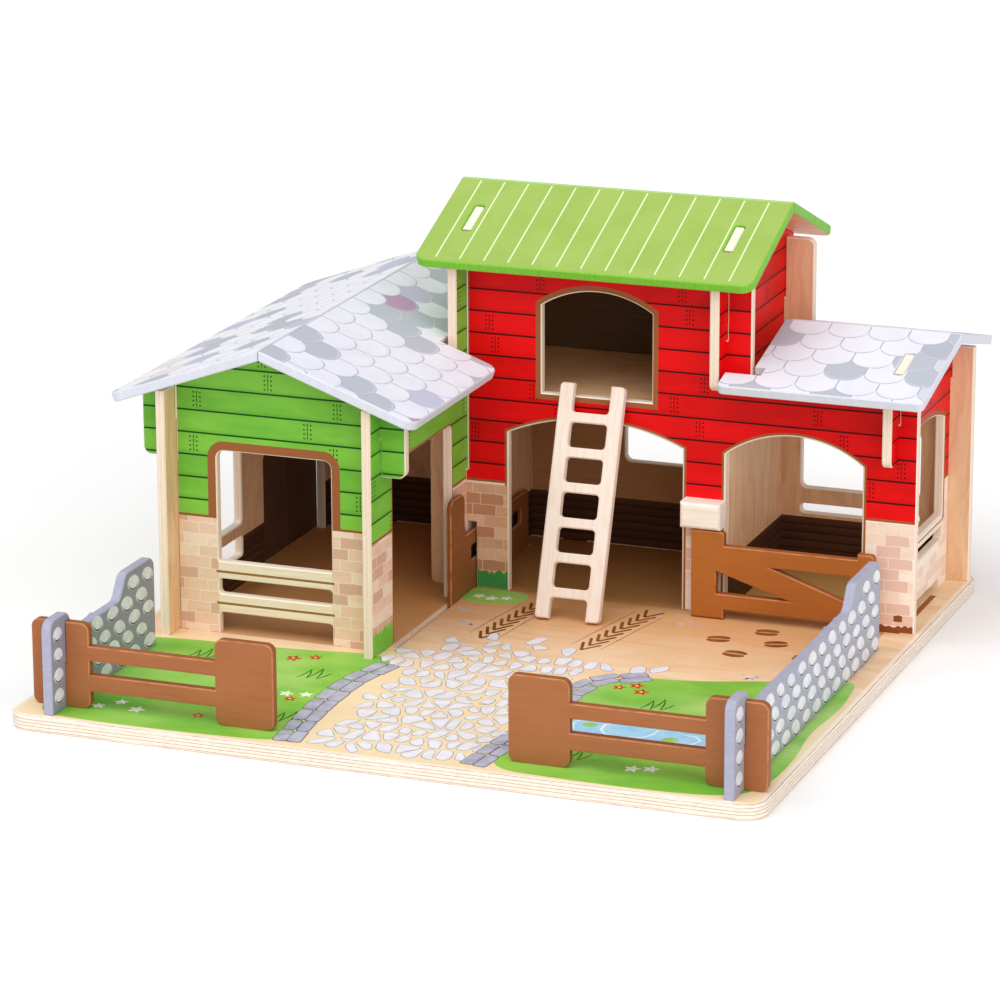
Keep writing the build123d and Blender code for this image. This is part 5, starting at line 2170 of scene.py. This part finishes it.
@dataclass(frozen=True)
class Barn:
    """The tall red barn and the side barn: printed walls, two roofs and a loft."""

    loft_window: Hole = Hole(-16.2, 56, 141, 197, rise=11.0, cream=0.7, brown=3.2)
    doorway: Hole = Hole(-38.4, 76.2, 0, 113.5, rise=12.5, cream=1.0, brown=1.4)
    side_arch: Hole = Hole(104, 191.4, 0, 113, rise=15.0, cream=1.0, brown=1.4)
    arch_window: Hole = Hole(107, 197, 57.3, 120, rise=8.0, brown=2.6)
    back_windows: tuple[Hole, ...] = (Hole(-2, 70, 67.4, 112), Hole(116.6, 195, 61.5, 104))
    joint: float = 80.0
    side_joint: float = 79.0
    loft_z: float = 138.0
    pitch: float = 21.8
    side_pitch: float = 13.9

    def dress(self) -> None:
        """Dresses the walls, the roofs and the loft."""
        self.dress_front()
        self.dress_back()
        self.dress_gable()
        self.dress_side()
        self.dress_roofs()
        floor = PaleWoodLook(face=tone("E9C294"), streak=tone("D6A470"), grain=(0.03, 0.4, 0.4))
        dress("loft_floor", floor.material("loft_ply"))
        dress("loft_cleats", PaleWoodLook(grain=(0.6, 0.04, 0.6)).material("cleat_wood"))

    def dress_front(self) -> None:
        """Dresses the red front wall, with its pier, its grass and the cream lines at the laps."""
        pier_left, pier_right = -66.5, -36.0
        front = WallLook(
            "barn_front_print",
            Broad.ACROSS,
            BARN_FRONT_Y,
            clad(Side.LOW, RED_BOARDS, BARN_BRICKS, self.joint, left=DIVIDER_X + PLY)
            + (wainscot(Side.HIGH, -66.0, 207.0),),
            (self.loft_window, self.doorway, self.side_arch),
            late=(
                Patch(Side.LOW, BROWN_LINE, left=pier_left, right=-64.2, low=87.0),
                Patch(Side.LOW, CREAM, left=-66.1, right=-64.9, low=87.0),
                Patch(Side.LOW, CREAM, left=104.0, right=105.1, low=185.0),
                Patch(Side.LOW, CREAM, left=213.5, right=214.6, low=142.0),
                # painted shade: the pier's darker bricks
                Patch(Side.LOW, SHADED_PIER_BRICKS, left=pier_left, right=pier_right, high=self.joint - 1.4),
                # painted shade: darker grass at the pier's foot
                Patch(Side.LOW, SHADED_GRASS, left=pier_left, right=pier_right, high=24.0, ragged=7.0),
                # brown marks at the foot of the wall's right end: a ragged band and a blob above it
                Patch(Side.LOW, BROWN_FOOT_MARKS, left=203.5, right=225.0, high=15.5, ragged=3.5),
                Patch(Side.LOW, BROWN_FOOT_MARKS, left=212.6, right=218.0, low=17.4, high=22.0, ragged=1.6),
            ),
        )
        dress("barn_front_wall", front.material())

    def dress_back(self) -> None:
        """Dresses the back wall: green behind the stable, red behind the barns, and inside painted shade,
        darker planks below the loft and darker still above it.
        """
        inside = {"left": DIVIDER_X + PLY, "right": GABLE_X}
        back = WallLook(
            "back_wall_print",
            Broad.ACROSS,
            BACK_Y,
            clad(Side.HIGH, GREEN_BOARDS, STABLE_BRICKS, STABLE_JOINT, right=DIVIDER_X)
            + clad(Side.HIGH, RED_BOARDS, BARN_BRICKS, self.joint, left=DIVIDER_X + PLY)
            + (
                # painted shade: the inside is painted in darker planks below the loft and darker still above
                # it
                Patch(Side.LOW, PlankLook(tone("BC8C60"), tone("A57850")), high=self.loft_z, **inside),
                Patch(Side.LOW, PlankLook(tone("6B5239"), tone("574229")), low=self.loft_z, **inside),
                wainscot(Side.LOW, -200.0, 207.0),
            ),
            self.back_windows,
            framed=Side.HIGH,
        )
        dress("back_wall", back.material())

    def dress_gable(self) -> None:
        """Dresses the tall barn's right gable, which is red above the side barn's roof."""
        foot = BARN_FRONT_Y + PLY
        gable = WallLook(
            "gable_print",
            Broad.ALONG,
            GABLE_X,
            (
                Patch(Side.HIGH, RED_BOARDS, low=150.0),
                wainscot(Side.HIGH, foot, BACK_Y),
                wainscot(Side.LOW, foot, BACK_Y),
            ),
        )
        dress("barn_gable_wall", gable.material())

    def dress_side(self) -> None:
        """Dresses the side barn's outer wall, with a pale rail under its window."""
        side = WallLook(
            "side_barn_print",
            Broad.ALONG,
            SIDE_WALL_X,
            clad(Side.HIGH, RED_BOARDS, PALE_BRICKS, self.side_joint)
            + (wainscot(Side.LOW, BARN_FRONT_Y + PLY, BACK_Y),),
            (self.arch_window,),
            framed=Side.HIGH,
            late=(
                Patch(Side.HIGH, PlankLook(), left=107.0, right=197.0, low=49.2, high=57.3),
                Patch(Side.HIGH, BROWN_LINE, left=105.0, right=199.0, low=53.0, high=54.0),
            ),
        )
        dress("side_barn_wall", side.material())

    def dress_roofs(self) -> None:
        """Dresses the green slabs and the side barn's shingled ones."""
        greys = (tone("BCC1CC"), tone("C4C8D3"), tone("B6BBC8"), tone("D6D7E2"))
        shingles = ShingleLook(seed=14.0, odd=greys)
        green = StripedRoofLook()
        for end, side in (("front", Side.LOW), ("back", Side.HIGH)):
            for name, look, pitch in (("barn", green, self.pitch), ("side", shingles, self.side_pitch)):
                node = f"{name}_roof_{end}"
                dress(node, look.material(f"{node}_print", Slope(Broad.ACROSS, side, BARN_MIDDLE_Y, pitch)))


@dataclass(frozen=True)
class SmallPieces:
    """Fences, gates, doors, blocks, ladder and pins."""

    def dress(self) -> None:
        """Dresses the pieces that keep their CAD shape."""
        self.dress_stained()
        self.dress_bare()
        pins = PinLook().material("pin_wire")
        for node in ("yard_gate_pins", "side_door_front_pins", "side_door_back_pins"):
            dress(node, pins)

    def dress_stained(self) -> None:
        """Dresses the brown fences, gates and doors."""
        fence = StainLook().material("brown_stain_across")
        for node in ("fence_left", "fence_right"):
            dress(node, fence)
        gate = StainLook(paint=tone("B4692F"), deep=tone("A65C29"), light=tone("BC7032"))
        dress("yard_gate", gate.material("gate_stain"))
        # painted shade: the sliding gate's brown is painted darker than the yard gate's
        shaded_slider = StainLook(paint=tone("935A34"), deep=tone("7D4827"), light=tone("9C6138"))
        dress("stable_gate", shaded_slider.material("slider_stain", Broad.ALONG))
        # painted shade: the doors' inner faces are painted dark
        doors = StainLook(inner=tone("4F3A2C"))
        for node in ("side_door_front", "side_door_back"):
            dress(node, doors.material(f"{node}_stain", Broad.ALONG))

    def dress_bare(self) -> None:
        """Dresses the blocks, the dowels and the ladder."""
        block = PaleWoodLook(face=tone("FEF3EA"), streak=tone("F6E3D2"))
        dress("pivot_block", block.material("block_wood"))
        dress("door_head", PaleWoodLook(grain=(0.6, 0.04, 0.6)).material("head_wood"))
        dowel = PaleWoodLook(face=tone("E8C9A0")).material("dowel_wood")
        for node in ("block_dowels", "head_dowels"):
            dress(node, dowel)
        dress("ladder", PaleWoodLook(grain=(0.6, 0.1, 0.05)).material("ladder_wood"))


@dataclass(frozen=True)
class StoneLayer:
    """One of the prints that lie over each other in a wall stone.

    Its scale is a share of the stone's size, its shift and its top are in millimetres.
    """

    name: str
    scale: float
    shift: float
    top: float


@dataclass(frozen=True)
class StoneWalls:
    """The two low walls, with round stones printed on both faces."""

    pitch: float = 20.0
    rows: tuple[float, ...] = (15.4, 26.1, 36.7, 47.3, 57.9)
    end_rows: tuple[float, ...] = (19.5, 32.0, 44.5, 57.0)

    # what the stones keep clear of: the wall's ends, its low top, and the fence's slot
    end_at: float = 9.2
    end_margin: float = 9.5
    front_margin: float = 20.0
    shift: Point = (1.0, 0.5)
    low_top: float = 42.5
    high_top: float = 57.0
    post_reach: float = 26.0
    rise_reach: float = 16.0
    stone_half: float = 4.6
    fence_reach: Point = (10.0, 15.0)
    row_stretch: float = 1.72
    end_stretch: float = 1.32
    layers: tuple[StoneLayer, ...] = (
        StoneLayer("stone", 1.0, 0.0, 0.05),
        StoneLayer("shade", 0.8, -0.75, 0.08),
        StoneLayer("face", 0.8, 0.25, 0.11),
    )

    def build(self, motif: Studs) -> None:
        """Dresses both walls and prints their stones.

        Args:
            motif: The tree that sets motifs on points.
        """
        dress("stone_wall_left", StoneGroundLook(tone("9A98AC")).material("stone_ground_left"))
        dress("stone_wall_right", StoneGroundLook(tone("ABAEBC")).material("stone_ground_right"))
        left = ink("wall_stone_left", "F4F0FC", "E2DEEC")
        right = ink("wall_stone_right", "F2F2F8", "E0E2EA")
        shade = ink("stone_crescent", "50585E", "3E464C")
        for node, paint, rise_at, seed in (
            ("stone_wall_left", left, -134.0, 2),
            ("stone_wall_right", right, -4.0, 6),
        ):
            low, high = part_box(node)
            for face, x, turn in (("outer", high.x, 0.5), ("inner", low.x, -0.5)):
                values = {
                    "Petals": 4,
                    "Round": 2.6 * MM,
                    "Stand": (math.pi / 2, 0.0, math.pi * turn),
                    "Spin": -0.4,
                    "Smallest": 0.88,
                    "Seed": seed,
                }
                groups = (
                    ("row", self.places(low.y / MM, high.y / MM, x / MM, rise_at, seed), self.row_stretch),
                    ("end", [(x / MM, low.y / MM + self.end_at, z) for z in self.end_rows], self.end_stretch),
                )
                for layer in self.layers:
                    values["Material"] = shade if layer.name == "shade" else paint
                    self.print_layer(motif, f"{node}_{face}", groups, layer, values)

    def print_layer(
        self,
        motif: Studs,
        name: str,
        groups: Sequence[tuple[str, list[Place], float]],
        layer: StoneLayer,
        values: dict[str, object],
    ) -> None:
        """Prints one layer of all stones on one face.

        Args:
            motif: The tree that sets motifs on points.
            name: The wall and its face.
            groups: For each group of stones its name, its places and how long its stones are drawn.
            layer: The layer.
            values: The tree's inputs that all layers share, and the material.
        """
        sizes = {
            "Inner": 4.9 * MM * layer.scale,
            "Outer": 5.3 * MM * layer.scale,
            "Thickness": layer.top * MM,
        }
        for group, places, stretch in groups:
            piece = f"{name}_{group}_{layer.name}"
            moved = [(x, y, z + layer.shift) for x, y, z in places]
            given = values | sizes | {"Stretch": (stretch, 1.0, 1.0)}
            motif.bake(piece, point_mesh(f"{piece}_points", moved), given, STONE_PRINT)

    def places(self, start: float, end: float, x: float, rise_at: float, seed: int) -> list[Place]:
        """Finds places for stones, inside the wall's outline and clear of the fence's slot.

        Args:
            start: The wall's front end.
            end: The wall's far end.
            x: The face's place.
            rise_at: Where the wall starts to rise at its far end.
            seed: Seed of the small shifts.

        Returns:
            The places in millimetres.
        """
        chance = random.Random(seed)
        found: list[Place] = []
        for row, z in enumerate(self.rows):
            y = end - self.end_margin - (row % 2) * self.pitch / 2
            while y > start + self.front_margin:
                py = y + chance.uniform(-self.shift[0], self.shift[0])
                pz = z + chance.uniform(-self.shift[1], self.shift[1])
                tall = py < start + self.post_reach or py > rise_at + self.rise_reach
                top = FLOOR_Z + (self.high_top if tall else self.low_top)
                at_fence = FENCE_Y - self.fence_reach[0] < py < FENCE_Y + self.fence_reach[1]
                if pz + self.stone_half < top and not at_fence:
                    found.append((x, py, pz))
                y -= self.pitch
        return found


# ---- studio


@dataclass(frozen=True)
class Sun:
    """A soft light that shines evenly from far away.

    Its bearing goes from the front towards the right. Bearing, height and width are in degrees.
    """

    name: str
    bearing: float
    height: float
    strength: float
    width: float

    def build(self) -> None:
        """Adds the light."""
        data = bpy.data.lights.new(self.name, "SUN")
        data.energy = self.strength
        data.angle = math.radians(self.width)
        around, up = math.radians(self.bearing), math.radians(self.height)
        towards = Vector((math.sin(around) * math.cos(up), -math.cos(around) * math.cos(up), math.sin(up)))
        stand(self.name, data).rotation_euler = (-towards).to_track_quat("-Z", "Y").to_euler()


@dataclass(frozen=True)
class Studio:
    """The floor, the light and the camera."""

    floor_half: float = 30.0
    camera_place: Place = (0.925, -2.454, 0.864)
    yaw: float = 20.84
    pitch: float = 16.27
    roll: float = 0.20
    lens: float = 162.97
    sensor: float = 36.0
    sky: float = 0.40
    suns: tuple[Sun, ...] = (Sun("key", -31.0, 63.0, 1.80, 60.0), Sun("fill", 46.0, 26.0, 1.2, 60.0))

    def build(self) -> None:
        """Sets up the whole studio."""
        self.lay_floor()
        self.set_light()
        self.set_camera()
        bpy.context.scene.view_settings.view_transform = "Standard"

    def lay_floor(self) -> None:
        """Lays a plain pale floor."""
        data = bpy.data.meshes.new("floor")
        far = self.floor_half
        data.from_pydata([(-far, -far, 0), (far, -far, 0), (far, far, 0), (-far, far, 0)], [], [(0, 1, 2, 3)])
        r = Recipe("floor_paper")
        x, y, _ = r.place()
        paper = r.over(tone("FFFFFF"), tone("FCFCFD"), r.noise(x * 0.01, y * 0.01))
        data.materials.append(r.done(paper, 0.9))
        stand("floor", data)

    def set_light(self) -> None:
        """Lights the object with a pale sky and soft suns."""
        world = bpy.data.worlds.new("studio")
        bpy.context.scene.world = world
        world.use_nodes = True
        back = world.node_tree.nodes["Background"]
        back.inputs["Color"].default_value = (1.0, 1.0, 1.0, 1.0)
        back.inputs["Strength"].default_value = self.sky
        for sun in self.suns:
            sun.build()

    def set_camera(self) -> None:
        """Sets the camera at the chosen angle, with no depth of field."""
        yaw, pitch, roll = (math.radians(a) for a in (self.yaw, self.pitch, self.roll))
        level = math.cos(pitch)
        forward = Vector((-math.sin(yaw) * level, math.cos(yaw) * level, -math.sin(pitch)))
        right = Vector((math.cos(yaw), math.sin(yaw), 0.0))
        down = forward.cross(right)
        image_x = right * math.cos(roll) + down * math.sin(roll)
        image_y = down * math.cos(roll) - right * math.sin(roll)
        turn = Matrix((image_x, -image_y, -forward)).transposed()
        data = bpy.data.cameras.new("camera")
        data.lens = self.lens
        data.sensor_width = self.sensor
        data.clip_start, data.clip_end = 0.05, 20.0
        data.dof.use_dof = False
        camera = stand("camera", data)
        camera.matrix_world = Matrix.Translation(self.camera_place) @ turn.to_4x4()
        bpy.context.scene.camera = camera


def main() -> None:
    """Builds the barn's looks piece by piece, then the studio."""
    logging.basicConfig(level=logging.INFO, format="%(name)s: %(message)s")
    motif, row = Studs(), PathRow()
    Stable().dress()
    Barn().dress()
    SmallPieces().dress()
    StoneWalls().build(motif)
    Yard().build(motif, row)
    Studio().build()


if __name__ == "__main__":
    main()
